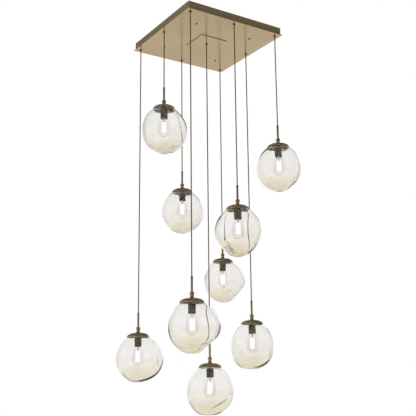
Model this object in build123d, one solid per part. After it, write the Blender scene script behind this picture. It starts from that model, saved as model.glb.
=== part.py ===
from build123d import *
from collections import namedtuple
import math
import os

# Nine-light cluster pendant, in millimetres, +Z up. The origin is the centre of the ceiling face of the
# canopy, and everything hangs below it. The ports stand on a 3 x 3 grid along X and Y.

# ---------------------------------------------------------------- the nine lights
# A press is one touch of the glassblower's pad: where it lands on the globe, as an azimuth from +X and an
# elevation above the globe's middle, how wide it spreads, all in degrees, and how deep it goes in
# millimetres. A negative depth is a bulge.
Press = namedtuple("Press", "azimuth elevation spread depth")

# One light: its column and row in the grid, how far its cap hangs below the face plate, its globe's width
# and height, how far and which way the globe's belly leans, how egg-shaped it is, and its presses.
Light = namedtuple("Light", "number column row drop width height lean lean_azimuth egg presses")

RIGHT = -33.0  # the azimuths in which the globes are seen side on, full on and from behind
LEFT = 147.0
FRONT = -123.0
BACK = 57.0

LIGHTS = (
    Light(1, -1, 1, 1409.0, 219.0, 224.0, 7.0, RIGHT, 0.08, (
        Press(RIGHT, 45.0, 30.0, -4.0),
        Press(LEFT, -42.0, 28.0, 5.0),
        Press(FRONT, -30.0, 30.0, 4.0),
    )),
    Light(2, -1, 0, 372.0, 206.0, 232.0, 4.5, RIGHT, 0.08, (
        Press(LEFT, 36.0, 24.0, -6.0),
        Press(RIGHT, 52.0, 22.0, 5.0),
        Press(LEFT, -58.0, 28.0, 4.0),
        Press(-75.0, 0.0, 24.0, 6.0),
    )),
    Light(3, 0, 1, 693.0, 211.0, 227.0, 2.0, RIGHT, 0.07, (
        Press(LEFT, -42.0, 30.0, 5.0),
        Press(RIGHT, -48.0, 30.0, 5.0),
    )),
    Light(4, -1, -1, 1283.0, 217.0, 226.0, 10.0, RIGHT, 0.08, (
        Press(RIGHT, -48.0, 27.0, 17.0),
        Press(LEFT, -40.0, 26.0, 3.0),
        Press(BACK, 10.0, 32.0, 4.0),
    )),
    Light(5, 0, 0, 1549.0, 208.0, 227.0, 0.0, RIGHT, 0.08, (
        Press(LEFT, -70.0, 26.0, -6.0),
        Press(-80.0, -48.0, 20.0, 7.0),
        Press(BACK, 15.0, 30.0, 3.0),
    )),
    Light(6, 1, 1, 1031.0, 209.0, 224.0, 9.0, RIGHT, 0.08, (
        Press(RIGHT, -42.0, 25.0, 17.0),
        Press(LEFT, -50.0, 26.0, 4.0),
    )),
    Light(7, 0, -1, 866.0, 209.0, 230.0, 0.0, RIGHT, 0.08, (
        Press(LEFT, -40.0, 26.0, 11.0),
        Press(RIGHT, -38.0, 28.0, 8.0),
        Press(FRONT, 20.0, 34.0, 3.0),
    )),
    Light(8, 1, 0, 1353.0, 203.0, 229.0, 0.0, LEFT, 0.11, (
        Press(LEFT, -62.0, 26.0, -5.0),
        Press(RIGHT, -20.0, 24.0, 3.0),
        Press(FRONT, 5.0, 28.0, 5.0),
    )),
    Light(9, 1, -1, 546.0, 210.0, 229.0, 0.0, LEFT, 0.07, (
        Press(RIGHT, -50.0, 26.0, 7.0),
        Press(RIGHT, 13.0, 18.0, 7.0),
        Press(LEFT, -38.0, 26.0, 4.0),
    )),
)

# ---------------------------------------------------------------- canopy
PORT_PITCH = 240.0
PLATE_MARGIN = 26.0  # from an outer port to the edge of the face plate
PLATE_THICKNESS = 3.0
PLATE_EDGE_RADIUS = 0.6
FLANGE_REVEAL = 6.0  # how far the face plate stands out past the frame
FRAME_HEIGHT = 36.0
SHEET = 2.0
CEILING_FLANGE_WIDTH = 22.0
ANCHOR_HOLE_DIAMETER = 6.5
RAIL_WIDTH = 34.0
STRAP_WIDTH = 42.0
JUNCTION_SPACING = 88.9
JUNCTION_SLOT_WIDTH = 5.2
JUNCTION_SLOT_LENGTH = 14.0

SCREW_SPACING = 304.0
SCREW_DIAMETER = 5.0
SCREW_LENGTH = 14.0
SCREW_HEAD_DIAMETER = 9.5
SCREW_HEAD_HEIGHT = 2.75
SCREW_SOCKET_WIDTH = 3.0
SCREW_SOCKET_DEPTH = 1.6
SCREW_CLEARANCE = 0.25
THREAD_CLEARANCE = 0.05
POST_DIAMETER = 12.0

WIRING_HOLE = 118.0
COVER_SIZE = 146.0
COVER_THICKNESS = 2.4
COVER_SEAT_INSET = 2.0
COVER_SEAT_HEIGHT = 0.8
COVER_EDGE_RADIUS = 0.5
TONGUE_WIDTH = 18.0
TONGUE_THICKNESS = 1.2
TONGUE_CLEARANCE = 0.4
TONGUE_HOOK = 2.4

# ---------------------------------------------------------------- cords and their bushings
CORD_DIAMETER = 4.5
CORD_GRIP_CLEARANCE = 0.15
CORD_END_GAP = 0.3
PIVOT_DEPTH = 1.0  # how far up inside a bushing's mouth its cord bends
BUSHING_FLANGE_DIAMETER = 13.0
BUSHING_FLANGE_HEIGHT = 3.0
BUSHING_EDGE_RADIUS = 1.0
BUSHING_SHANK_DIAMETER = 9.0
BUSHING_SHANK_HEIGHT = 6.0  # above the sheet that it clamps
BUSHING_MOUTH_DIAMETER = 8.4
BUSHING_MOUTH_DEPTH = 2.6
BUSHING_CLEARANCE = 0.15
NUT_WIDTH = 14.0
NUT_HEIGHT = 4.0

LEAD_HEIGHT = 15.0  # of an inner lead's centre line above the face plate
LEAD_BEND_RADIUS = 7.0
LEAD_ROUTE_RADIUS = 40.0
LEAD_ENTRY_RADIUS = 9.0
LEAD_STANDOFF = 12.0
BLOCK_X = 104.0
BLOCK_Y = -70.0
BLOCK_LENGTH = 64.0
BLOCK_WIDTH = 22.0
BLOCK_HEIGHT = 20.0
BLOCK_EDGE_RADIUS = 1.5
BLOCK_SCREW_COUNT = 6
BLOCK_SCREW_PITCH = 9.6
BLOCK_SCREW_DIAMETER = 5.0
BLOCK_SCREW_DEPTH = 6.0

# ---------------------------------------------------------------- the rod and what it carries
ROD_DIAMETER = 9.4
ROD_REACH = 66.0  # of the rod and its ferrule above the coupler
ROD_INSERTION = 14.0
ROD_BORE_DIAMETER = 5.4
FERRULE_DIAMETER = 11.0
FERRULE_TIP_DIAMETER = 7.0
FERRULE_HEIGHT = 9.0
FERRULE_OVERLAP = 6.0
FIT_CLEARANCE = 0.1
CORD_INSERTION = 10.0

COUPLER_HEIGHT = 25.0
COUPLER_BEAD_DIAMETER = 19.5
COUPLER_BEAD_HEIGHT = 10.0
COUPLER_WAIST_DIAMETER = 15.6
COUPLER_FOOT_DIAMETER = 21.5
COUPLER_FOOT_HEIGHT = 5.0
COUPLER_EDGE_RADIUS = 2.0

NIPPLE_DIAMETER = 10.0
NIPPLE_BORE_DIAMETER = 6.5
NIPPLE_INSERTION = 9.0

CAP_DIAMETER = 104.0
CAP_HEIGHT = 20.0
CAP_FLAT_DIAMETER = 22.0
CAP_SHEET = 1.4

BAR_WIDTH = 16.0
BAR_THICKNESS = 1.8
BAR_DROP = 23.0  # of the bar's top below the cap's top
BAR_END_GAP = 0.8

# ---------------------------------------------------------------- glass
GLASS_WALL = 3.2
GLASS_SEAT_GAP = 0.5  # between the cap's rim and the glass under it
SHOULDER_MARGIN = 3.0  # how far past the cap's rim the globe is still round
GLASS_MOUTH_DIAMETER = 92.0
PONTIL_DIAMETER = 28.0
LOOP_COUNT = 14  # from the shoulder to the pontil
LOOP_POINTS = 20
PRESS_FADE = 24.0  # degrees over which the presses die out towards the cap and the pontil

# ---------------------------------------------------------------- lampholder and lamp
SOCKET_DIAMETER = 33.0
SOCKET_SHEET = 1.2
SOCKET_DROP = 63.5  # of the lampholder's lip below the cap's top
SOCKET_EDGE_RADIUS = 3.0
LIP_HEIGHT = 7.0
CORE_DIAMETER = 30.0
CORE_CLEARANCE = 0.15
CORE_FLOOR = 9.0  # above the lamp's contact
LAMP_BASE_DIAMETER = 26.0
LAMP_BASE_HEIGHT = 25.0
LAMP_BASE_CLEARANCE = 0.3
LAMP_BASE_RECESS = 3.0  # of the lamp base's lower edge above the lampholder's lip
LAMP_CONTACT_DIAMETER = 9.0
LAMP_CONTACT_HEIGHT = 2.0
LAMP_NECK_DIAMETER = 25.0
LAMP_REACH = 92.0  # of the lamp below the lampholder's lip
LAMP_GLASS = 1.0
MOUNT_DIAMETER = 7.0
MOUNT_LENGTH = 34.0
FILAMENT_COUNT = 4
FILAMENT_DIAMETER = 2.2
FILAMENT_LENGTH = 46.0
FILAMENT_RING_DIAMETER = 15.0
SPIDER_THICKNESS = 1.2

# The lamp's outline below the lampholder's lip, as depth and diameter.
LAMP_OUTLINE = ((8.0, 39.0), (26.0, 46.5), (50.0, 53.0), (62.0, 53.6), (76.0, 46.0), (87.0, 27.0))

# ---------------------------------------------------------------- levels and places that follow from these
PLATE_BOTTOM = -(FRAME_HEIGHT + PLATE_THICKNESS)
PLATE_TOP = -FRAME_HEIGHT
PLATE_SIZE = 2 * (PORT_PITCH + PLATE_MARGIN)
FRAME_SIZE = PLATE_SIZE - 2 * FLANGE_REVEAL
COVER_BOTTOM = PLATE_BOTTOM - COVER_SEAT_HEIGHT - COVER_THICKNESS
CENTRE_LIGHT = 5


def place(number):
    """A light's port in the canopy, as X and Y."""
    light = LIGHTS[number - 1]
    return light.column * PORT_PITCH, light.row * PORT_PITCH


def carrier(number):
    """The lower face and the thickness of the sheet that carries a light's bushing."""
    if number == CENTRE_LIGHT:
        return COVER_BOTTOM, COVER_SEAT_HEIGHT + COVER_THICKNESS
    return PLATE_BOTTOM, PLATE_THICKNESS


def pivot_level(number):
    """Where a cord bends as its light swings, just inside its bushing's mouth."""
    return carrier(number)[0] - BUSHING_FLANGE_HEIGHT + PIVOT_DEPTH


def cap_level(number):
    """The top of a light's cap."""
    return PLATE_BOTTOM - LIGHTS[number - 1].drop


def cylinder(diameter, bottom, top, x=0.0, y=0.0):
    """A solid cylinder between two levels."""
    blank = Cylinder(diameter / 2, top - bottom, align=(Align.CENTER, Align.CENTER, Align.MIN))
    return Pos(x, y, bottom) * blank


def tube(outer, inner, bottom, top, x=0.0, y=0.0):
    """A straight tube between two levels."""
    bore = cylinder(inner, bottom - 1, top + 1, x, y)
    return cylinder(outer, bottom, top, x, y) - bore


def turned(*edges):
    """A solid turned about Z from edges drawn in the XZ plane that close a face."""
    outline = make_face(Plane.XZ * (Curve() + list(edges)))
    return revolve(outline, Axis.Z)


def single(shape):
    """The one solid of a shape that is known to be one piece."""
    (solid,) = shape.solids()
    return solid


def write(node, solids):
    """Write one node, its pieces side by side."""
    group = Compound(children=[single(piece) for piece in solids])
    group.label = node
    export_step(group, f"parts/{node}.step")


# ---------------------------------------------------------------- canopy
def canopy_frame():
    """Folded walls, a flange to the ceiling, two rails, a junction-box strap and four tapped posts."""
    low = (Align.CENTER, Align.CENTER, Align.MAX)
    outer = Box(FRAME_SIZE, FRAME_SIZE, FRAME_HEIGHT, align=low)
    inner_size = FRAME_SIZE - 2 * SHEET
    frame = outer - Box(inner_size, inner_size, FRAME_HEIGHT, align=low)
    hole_size = FRAME_SIZE - 2 * CEILING_FLANGE_WIDTH
    flange = Box(FRAME_SIZE, FRAME_SIZE, SHEET, align=low) - Box(hole_size, hole_size, SHEET, align=low)
    frame += flange
    rail_place = SCREW_SPACING / 2
    for side in (-1, 1):
        frame += Pos(side * rail_place, 0, 0) * Box(RAIL_WIDTH, inner_size, SHEET, align=low)
    frame += Box(SCREW_SPACING, STRAP_WIDTH, SHEET, align=low)
    for x in (-rail_place, rail_place):
        for y in (-rail_place, rail_place):
            frame += cylinder(POST_DIAMETER, PLATE_TOP, 0, x, y)
            frame -= cylinder(SCREW_DIAMETER + 2 * THREAD_CLEARANCE, PLATE_TOP - 1, -SHEET, x, y)
    slot = extrude(SlotOverall(JUNCTION_SLOT_LENGTH, JUNCTION_SLOT_WIDTH), SHEET * 2, both=True)
    for side in (-1, 1):
        frame -= Pos(side * JUNCTION_SPACING / 2, 0, 0) * slot
    anchor = (FRAME_SIZE - CEILING_FLANGE_WIDTH) / 2
    for x in (-anchor, anchor):
        for y in (-anchor, anchor):
            frame -= cylinder(ANCHOR_HOLE_DIAMETER, -2 * SHEET, SHEET, x, y)
    return frame


def canopy_plate():
    """The face plate, with its ports, its screw holes and its wiring hole."""
    plate = Pos(0, 0, PLATE_BOTTOM) * Box(
        PLATE_SIZE, PLATE_SIZE, PLATE_THICKNESS, align=(Align.CENTER, Align.CENTER, Align.MIN))
    plate = fillet(plate.faces().sort_by(Axis.Z)[0].edges(), PLATE_EDGE_RADIUS)
    low = PLATE_BOTTOM - 1
    high = PLATE_TOP + 1
    for light in LIGHTS:
        if light.number != CENTRE_LIGHT:
            x, y = place(light.number)
            plate -= cylinder(BUSHING_SHANK_DIAMETER + 2 * BUSHING_CLEARANCE, low, high, x, y)
    for x, y in screw_places():
        plate -= cylinder(SCREW_DIAMETER + 2 * SCREW_CLEARANCE, low, high, x, y)
    hole = Box(WIRING_HOLE, WIRING_HOLE, 3 * PLATE_THICKNESS)
    return plate - Pos(0, 0, PLATE_BOTTOM) * hole


def access_cover():
    """The small centre cover, with a stepped seat and four tongues that snap into the wiring hole."""
    up = (Align.CENTER, Align.CENTER, Align.MIN)
    slab = Pos(0, 0, COVER_BOTTOM) * Box(COVER_SIZE, COVER_SIZE, COVER_THICKNESS, align=up)
    slab = fillet(slab.faces().sort_by(Axis.Z)[0].edges(), COVER_EDGE_RADIUS)
    seat_size = COVER_SIZE - 2 * COVER_SEAT_INSET
    seat_bottom = PLATE_BOTTOM - COVER_SEAT_HEIGHT
    cover = slab + Pos(0, 0, seat_bottom) * Box(seat_size, seat_size, COVER_SEAT_HEIGHT, align=up)
    outside = WIRING_HOLE / 2 - TONGUE_CLEARANCE
    hook_bottom = PLATE_TOP + TONGUE_CLEARANCE
    tongue_height = hook_bottom + TONGUE_THICKNESS - PLATE_BOTTOM
    reach = TONGUE_HOOK + TONGUE_CLEARANCE + TONGUE_THICKNESS
    left_down = (Align.MAX, Align.CENTER, Align.MIN)
    blade = Pos(outside, 0, PLATE_BOTTOM) * Box(
        TONGUE_THICKNESS, TONGUE_WIDTH, tongue_height, align=left_down)
    hook = Pos(outside - TONGUE_THICKNESS, 0, hook_bottom) * Box(
        reach, TONGUE_WIDTH, TONGUE_THICKNESS, align=(Align.MIN, Align.CENTER, Align.MIN))
    tongue = blade + hook
    for quarter in range(4):
        cover += Rot(0, 0, 90 * quarter) * tongue
    x, y = place(CENTRE_LIGHT)
    shank_hole = BUSHING_SHANK_DIAMETER + 2 * BUSHING_CLEARANCE
    return cover - cylinder(shank_hole, COVER_BOTTOM - 1, PLATE_BOTTOM + 1, x, y)


def screw_places():
    """The four screws' places."""
    half = SCREW_SPACING / 2
    return [(x, y) for x in (-half, half) for y in (-half, half)]


def canopy_screw(x, y):
    """A button-head screw from below, with a hexagon socket."""
    under_head = PLATE_BOTTOM
    head = cylinder(SCREW_HEAD_DIAMETER, under_head - SCREW_HEAD_HEIGHT, under_head)
    head = fillet(head.edges().sort_by(Axis.Z)[0], SCREW_HEAD_HEIGHT * 0.7)
    hexagon = RegularPolygon(SCREW_SOCKET_WIDTH / 2, 6, major_radius=False)
    socket = extrude(Pos(0, 0, under_head - SCREW_HEAD_HEIGHT) * hexagon, SCREW_SOCKET_DEPTH)
    shank = cylinder(SCREW_DIAMETER, under_head, under_head + SCREW_LENGTH)
    return Pos(x, y, 0) * (head + shank - socket)


def bushing(number):
    """A cord's bushing, its mouth flared for the swinging cord."""
    below, sheet = carrier(number)
    bottom = below - BUSHING_FLANGE_HEIGHT
    top = below + sheet + BUSHING_SHANK_HEIGHT
    flange = cylinder(BUSHING_FLANGE_DIAMETER, bottom, below)
    flange = fillet(flange.edges().sort_by(Axis.Z)[0], BUSHING_EDGE_RADIUS)
    body = flange + cylinder(BUSHING_SHANK_DIAMETER, below, top)
    bore = CORD_DIAMETER / 2 + CORD_GRIP_CLEARANCE
    body -= cylinder(2 * bore, bottom - 1, top + 1)
    mouth = Cone(BUSHING_MOUTH_DIAMETER / 2, bore, BUSHING_MOUTH_DEPTH,
                 align=(Align.CENTER, Align.CENTER, Align.MIN))
    body -= Pos(0, 0, bottom) * mouth
    return Pos(*place(number), 0) * body


def bushing_nut(number):
    """The hexagon nut that clamps a bushing from inside the canopy."""
    below, sheet = carrier(number)
    nut = extrude(RegularPolygon(NUT_WIDTH / 2, 6, major_radius=False), NUT_HEIGHT)
    nut = Pos(0, 0, below + sheet) * nut
    bore = BUSHING_SHANK_DIAMETER + 2 * THREAD_CLEARANCE
    nut -= cylinder(bore, below, below + sheet + NUT_HEIGHT + 1)
    return Pos(*place(number), 0) * nut


# How each inner lead enters the terminal block: the light, the way the block's face looks, the place along
# that face, and a point that the lead is led round where the straight way would foul a post.
Lead = namedtuple("Lead", "number face along by_way_of")
LEADS = (
    Lead(1, (0, 1), -20.0, (-96.0, 190.0)),
    Lead(3, (0, 1), -8.0, None),
    Lead(6, (0, 1), 6.0, None),
    Lead(8, (0, 1), 20.0, None),
    Lead(5, (-1, 0), 5.0, None),
    Lead(2, (-1, 0), -5.0, None),
    Lead(4, (0, -1), -20.0, None),
    Lead(7, (0, -1), -8.0, None),
    Lead(9, (0, -1), 17.0, None),
)


def inner_lead(lead):
    """The stretch of one cord inside the canopy, from its bushing's mouth to the terminal block."""
    x, y = place(lead.number)
    level = PLATE_TOP + LEAD_HEIGHT
    face_x, face_y = lead.face
    if face_x:
        end = (BLOCK_X + face_x * BLOCK_LENGTH / 2, BLOCK_Y + lead.along)
    else:
        end = (BLOCK_X + lead.along, BLOCK_Y + face_y * BLOCK_WIDTH / 2)
    before = (end[0] + face_x * LEAD_STANDOFF, end[1] + face_y * LEAD_STANDOFF)
    route = [(x, y, pivot_level(lead.number) + CORD_END_GAP), (x, y, level)]
    radii = [LEAD_BEND_RADIUS]
    if lead.by_way_of:
        route.append((*lead.by_way_of, level))
        radii.append(LEAD_ROUTE_RADIUS)
    route.append((*before, level))
    radii.append(LEAD_ENTRY_RADIUS)
    route.append((*end, level))
    path = FilletPolyline(*route, radius=radii)
    section = Plane(origin=route[0], z_dir=(0, 0, 1)) * Circle(CORD_DIAMETER / 2)
    return sweep(section, path=path)


def terminal_block():
    """The block where all the leads meet, with its screw wells."""
    block = Pos(BLOCK_X, BLOCK_Y, PLATE_TOP) * Box(
        BLOCK_LENGTH, BLOCK_WIDTH, BLOCK_HEIGHT, align=(Align.CENTER, Align.CENTER, Align.MIN))
    block = fillet(block.edges().filter_by(Axis.Z), BLOCK_EDGE_RADIUS)
    top = PLATE_TOP + BLOCK_HEIGHT
    for index in range(BLOCK_SCREW_COUNT):
        x = BLOCK_X + (index - (BLOCK_SCREW_COUNT - 1) / 2) * BLOCK_SCREW_PITCH
        block -= cylinder(BLOCK_SCREW_DIAMETER, top - BLOCK_SCREW_DEPTH, top + 1, x, BLOCK_Y)
    return block


# ---------------------------------------------------------------- one light, drawn with its cap's top at Z 0
ROD_TOP = COUPLER_HEIGHT + ROD_REACH


def cord(number):
    """The hanging stretch of a cord, from where it bends to its end inside the ferrule."""
    top = pivot_level(number)
    bottom = cap_level(number) + ROD_TOP - CORD_INSERTION
    return cylinder(CORD_DIAMETER, bottom, top, *place(number))


def rod():
    """The thin tube above the coupler."""
    bottom = COUPLER_HEIGHT - ROD_INSERTION
    return tube(ROD_DIAMETER, ROD_BORE_DIAMETER, bottom, ROD_TOP - FERRULE_HEIGHT + FERRULE_OVERLAP)


def ferrule():
    """The sleeve on the rod's top, where the cord goes in, drawn to a taper."""
    bottom = ROD_TOP - FERRULE_HEIGHT
    shoulder = bottom + FERRULE_OVERLAP
    sleeve = cylinder(FERRULE_DIAMETER, bottom, shoulder)
    sleeve += Pos(0, 0, shoulder) * Cone(
        FERRULE_DIAMETER / 2, FERRULE_TIP_DIAMETER / 2, FERRULE_HEIGHT - FERRULE_OVERLAP,
        align=(Align.CENTER, Align.CENTER, Align.MIN))
    sleeve -= cylinder(ROD_DIAMETER + 2 * FIT_CLEARANCE, bottom - 1, shoulder)
    return sleeve - cylinder(ROD_BORE_DIAMETER, bottom, ROD_TOP + 1)


def coupler():
    """The turned coupler: a bead, a waist and a flared foot on the cap."""
    bead_bottom = COUPLER_HEIGHT - COUPLER_BEAD_HEIGHT
    bead = cylinder(COUPLER_BEAD_DIAMETER, bead_bottom, COUPLER_HEIGHT)
    bead = fillet(bead.edges().filter_by(GeomType.CIRCLE), COUPLER_EDGE_RADIUS)
    waist = cylinder(COUPLER_WAIST_DIAMETER, 0, bead_bottom + COUPLER_EDGE_RADIUS)
    foot = Cone(COUPLER_FOOT_DIAMETER / 2, COUPLER_WAIST_DIAMETER / 2, COUPLER_FOOT_HEIGHT,
                align=(Align.CENTER, Align.CENTER, Align.MIN))
    body = bead + waist + foot
    body -= cylinder(ROD_DIAMETER + 2 * FIT_CLEARANCE, COUPLER_HEIGHT - ROD_INSERTION, COUPLER_HEIGHT + 1)
    body -= cylinder(NIPPLE_DIAMETER + 2 * FIT_CLEARANCE, -1, NIPPLE_INSERTION)
    return body - cylinder(ROD_BORE_DIAMETER, 0, COUPLER_HEIGHT)


def nipple():
    """The threaded hollow nipple through the cap and the bar, into the lampholder."""
    bottom = -(BAR_DROP + BAR_THICKNESS + SOCKET_SHEET)
    return tube(NIPPLE_DIAMETER, NIPPLE_BORE_DIAMETER, bottom, NIPPLE_INSERTION)


def quarter_dome(inset):
    """The cap's quarter-ellipse outline, drawn inwards from the outer face by an inset."""
    flat = CAP_FLAT_DIAMETER / 2
    return EllipticalCenterArc(
        (flat, -CAP_HEIGHT), CAP_DIAMETER / 2 - flat - inset, CAP_HEIGHT - inset, start_angle=0, arc_size=90)


def cap():
    """The spun dome with its flat crown."""
    outside = quarter_dome(0)
    inside = quarter_dome(CAP_SHEET)
    hole = NIPPLE_DIAMETER / 2 + FIT_CLEARANCE
    rim = Line(outside @ 0, inside @ 0)
    crown = Line(outside @ 1, (hole, 0))
    edge = Line((hole, 0), (hole, -CAP_SHEET))
    ceiling = Line((hole, -CAP_SHEET), inside @ 1)
    return turned(outside, crown, edge, ceiling, inside, rim)


class Globe:
    """The formula of one blown globe: a leaning egg, touched by its presses."""

    def __init__(self, light):
        self.light = light
        self.radius = light.width / 2
        seat = -(CAP_HEIGHT + GLASS_SEAT_GAP)
        seat_angle = self.angle_at(CAP_DIAMETER / 2 - CAP_SHEET)
        self.shoulder_angle = self.angle_at(CAP_DIAMETER / 2 + SHOULDER_MARGIN)
        self.half_height = (light.height + seat) / (1 + math.cos(seat_angle))
        self.centre = -light.height + self.half_height
        self.mouth_angle = self.angle_at(GLASS_MOUTH_DIAMETER / 2)
        self.pontil_angle = math.pi - self.angle_at(PONTIL_DIAMETER / 2, -1)

    def angle_at(self, radius, up=1):
        """The polar angle, from the nearer pole, at which the egg is this wide."""
        low = 0.0
        high = math.pi / 2
        for _ in range(40):
            middle = (low + high) / 2
            if self.radius * math.sin(middle) * (1 - up * self.light.egg * math.cos(middle)) < radius:
                low = middle
            else:
                high = middle
        return low

    def fade(self, angle):
        """How much of a press or of the lean is left at a polar angle: none under the cap or at the pontil."""
        reach = math.radians(PRESS_FADE)
        room = min(angle - self.shoulder_angle, self.pontil_angle - angle) / reach
        room = max(0.0, min(1.0, room))
        return room * room * (3 - 2 * room)

    def point(self, angle, azimuth, inset):
        """A point of the glass at a polar angle and an azimuth, an inset inside the outer face."""
        across = self.radius * math.sin(angle) * (1 - self.light.egg * math.cos(angle))
        along = self.half_height * math.cos(angle)
        reach = math.hypot(across, along)
        elevation = math.atan2(along, across)
        change = -inset
        for press in self.light.presses:
            turn = azimuth - math.radians(press.azimuth)
            lift = math.radians(press.elevation)
            cosine = math.sin(elevation) * math.sin(lift)
            cosine += math.cos(elevation) * math.cos(lift) * math.cos(turn)
            away = math.degrees(math.acos(max(-1.0, min(1.0, cosine))))
            change -= press.depth * self.fade(angle) * math.exp(-(away / press.spread) ** 2)
        scale = 1 + change / reach
        lean = self.light.lean * math.sin(angle) * self.fade(angle)
        lean_azimuth = math.radians(self.light.lean_azimuth)
        x = across * scale * math.cos(azimuth) + lean * math.cos(lean_azimuth)
        y = across * scale * math.sin(azimuth) + lean * math.sin(lean_azimuth)
        return x, y, self.centre + along * scale

    def skin(self, first_angle, inset):
        """A closed loft through loops round the globe, from near the mouth to the pontil."""
        loops = []
        stride = (self.pontil_angle - self.shoulder_angle) / (LOOP_COUNT - 1)
        angles = [first_angle] + [self.shoulder_angle + step * stride for step in range(LOOP_COUNT)]
        for angle in angles:
            turns = [2 * math.pi * index / LOOP_POINTS for index in range(LOOP_POINTS)]
            points = [self.point(angle, turn, inset) for turn in turns]
            loops.append(Wire([Edge.make_spline([Vector(*p) for p in points], periodic=True)]))
        return Solid.make_loft(loops)

    def inside_radius(self, level):
        """The inner face's radius at a level near the mouth, where the glass is still round."""
        low = self.mouth_angle / 2
        high = math.pi / 2
        for _ in range(40):
            middle = (low + high) / 2
            if self.point(middle, 0, GLASS_WALL)[2] > level:
                low = middle
            else:
                high = middle
        x, y, _ = self.point(low, 0, GLASS_WALL)
        return math.hypot(x, y)


MOUTH_OVERRUN = 0.12  # radians by which the hollow is drawn past the cut mouth


def shade(globe):
    """The blown globe, open at its cut mouth and ground flat at its pontil."""
    blown = globe.skin(globe.mouth_angle, 0)
    hollow = globe.skin(globe.mouth_angle - MOUTH_OVERRUN, GLASS_WALL)
    return blown - hollow


def shade_bar(globe):
    """The bar inside the mouth, whose ends hold the glass up against the cap."""
    half = globe.inside_radius(-BAR_DROP) - BAR_END_GAP
    bottom = -(BAR_DROP + BAR_THICKNESS)
    blank = Pos(0, 0, bottom) * Box(
        2 * half, BAR_WIDTH, BAR_THICKNESS, align=(Align.CENTER, Align.CENTER, Align.MIN))
    ends = cylinder(2 * half, bottom, -BAR_DROP)
    return (blank & ends) - cylinder(NIPPLE_DIAMETER + 2 * FIT_CLEARANCE, bottom - 1, 0)


SOCKET_TOP = -(BAR_DROP + BAR_THICKNESS)
LIP_TOP = LIP_HEIGHT - SOCKET_DROP
LAMP_BASE_BOTTOM = LAMP_BASE_RECESS - SOCKET_DROP
LAMP_BASE_TOP = LAMP_BASE_BOTTOM + LAMP_BASE_HEIGHT
LAMP_CONTACT_TOP = LAMP_BASE_TOP + LAMP_CONTACT_HEIGHT


def socket_cup():
    """The lampholder's metal cup."""
    cup = cylinder(SOCKET_DIAMETER, LIP_TOP, SOCKET_TOP)
    cup = fillet(cup.edges().sort_by(Axis.Z)[-1], SOCKET_EDGE_RADIUS)
    cup -= cylinder(SOCKET_DIAMETER - 2 * SOCKET_SHEET, LIP_TOP - 1, SOCKET_TOP - SOCKET_EDGE_RADIUS)
    return cup - cylinder(NIPPLE_DIAMETER + 2 * FIT_CLEARANCE, LIP_TOP, SOCKET_TOP + 1)


def socket_core():
    """The insulating core, whose lip shows below the cup."""
    top = LAMP_CONTACT_TOP + CORE_FLOOR
    core_diameter = min(CORE_DIAMETER, SOCKET_DIAMETER - 2 * SOCKET_SHEET - 2 * CORE_CLEARANCE)
    core = cylinder(core_diameter, LIP_TOP, min(top, SOCKET_TOP - SOCKET_EDGE_RADIUS))
    lip = cylinder(SOCKET_DIAMETER, -SOCKET_DROP, LIP_TOP)
    bore = LAMP_BASE_DIAMETER + 2 * LAMP_BASE_CLEARANCE
    well = cylinder(bore, -SOCKET_DROP - 1, LAMP_CONTACT_TOP)
    return core + lip - well


def lamp_outline(inset):
    """The lamp glass's outline from its neck to its tip, drawn inwards by an inset."""
    level = -SOCKET_DROP
    neck = LAMP_NECK_DIAMETER / 2 - inset
    points = [(neck, LAMP_BASE_BOTTOM)]
    points += [(diameter / 2 - inset, level - depth) for depth, diameter in LAMP_OUTLINE]
    points.append((0, level - LAMP_REACH + inset))
    return Spline(*points, tangents=[(0, -1), (-1, 0)])


def lamp_glass():
    """The clear bulb, open at its neck."""
    outside = lamp_outline(0)
    inside = lamp_outline(LAMP_GLASS)
    return turned(outside, Line(outside @ 1, inside @ 1), inside, Line(inside @ 0, outside @ 0))


def lamp_base():
    """The lamp's screw shell and its centre contact."""
    shell = cylinder(LAMP_BASE_DIAMETER, LAMP_BASE_BOTTOM, LAMP_BASE_TOP)
    return shell + cylinder(LAMP_CONTACT_DIAMETER, LAMP_BASE_TOP, LAMP_CONTACT_TOP)


def filament_mount():
    """The glass mount with its filaments held between two spiders."""
    top = LAMP_BASE_BOTTOM
    spider = top - MOUNT_LENGTH / 2
    body = cylinder(MOUNT_DIAMETER, spider - FILAMENT_LENGTH / 2, top)
    for level in (spider, spider - FILAMENT_LENGTH):
        body += cylinder(FILAMENT_RING_DIAMETER + 2 * FILAMENT_DIAMETER, level - SPIDER_THICKNESS, level)
    body += cylinder(MOUNT_DIAMETER / 2, spider - FILAMENT_LENGTH, top)
    for index in range(FILAMENT_COUNT):
        turn = 2 * math.pi * index / FILAMENT_COUNT
        x = FILAMENT_RING_DIAMETER / 2 * math.cos(turn)
        y = FILAMENT_RING_DIAMETER / 2 * math.sin(turn)
        body += cylinder(FILAMENT_DIAMETER, spider - FILAMENT_LENGTH, spider, x, y)
    return body


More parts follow.
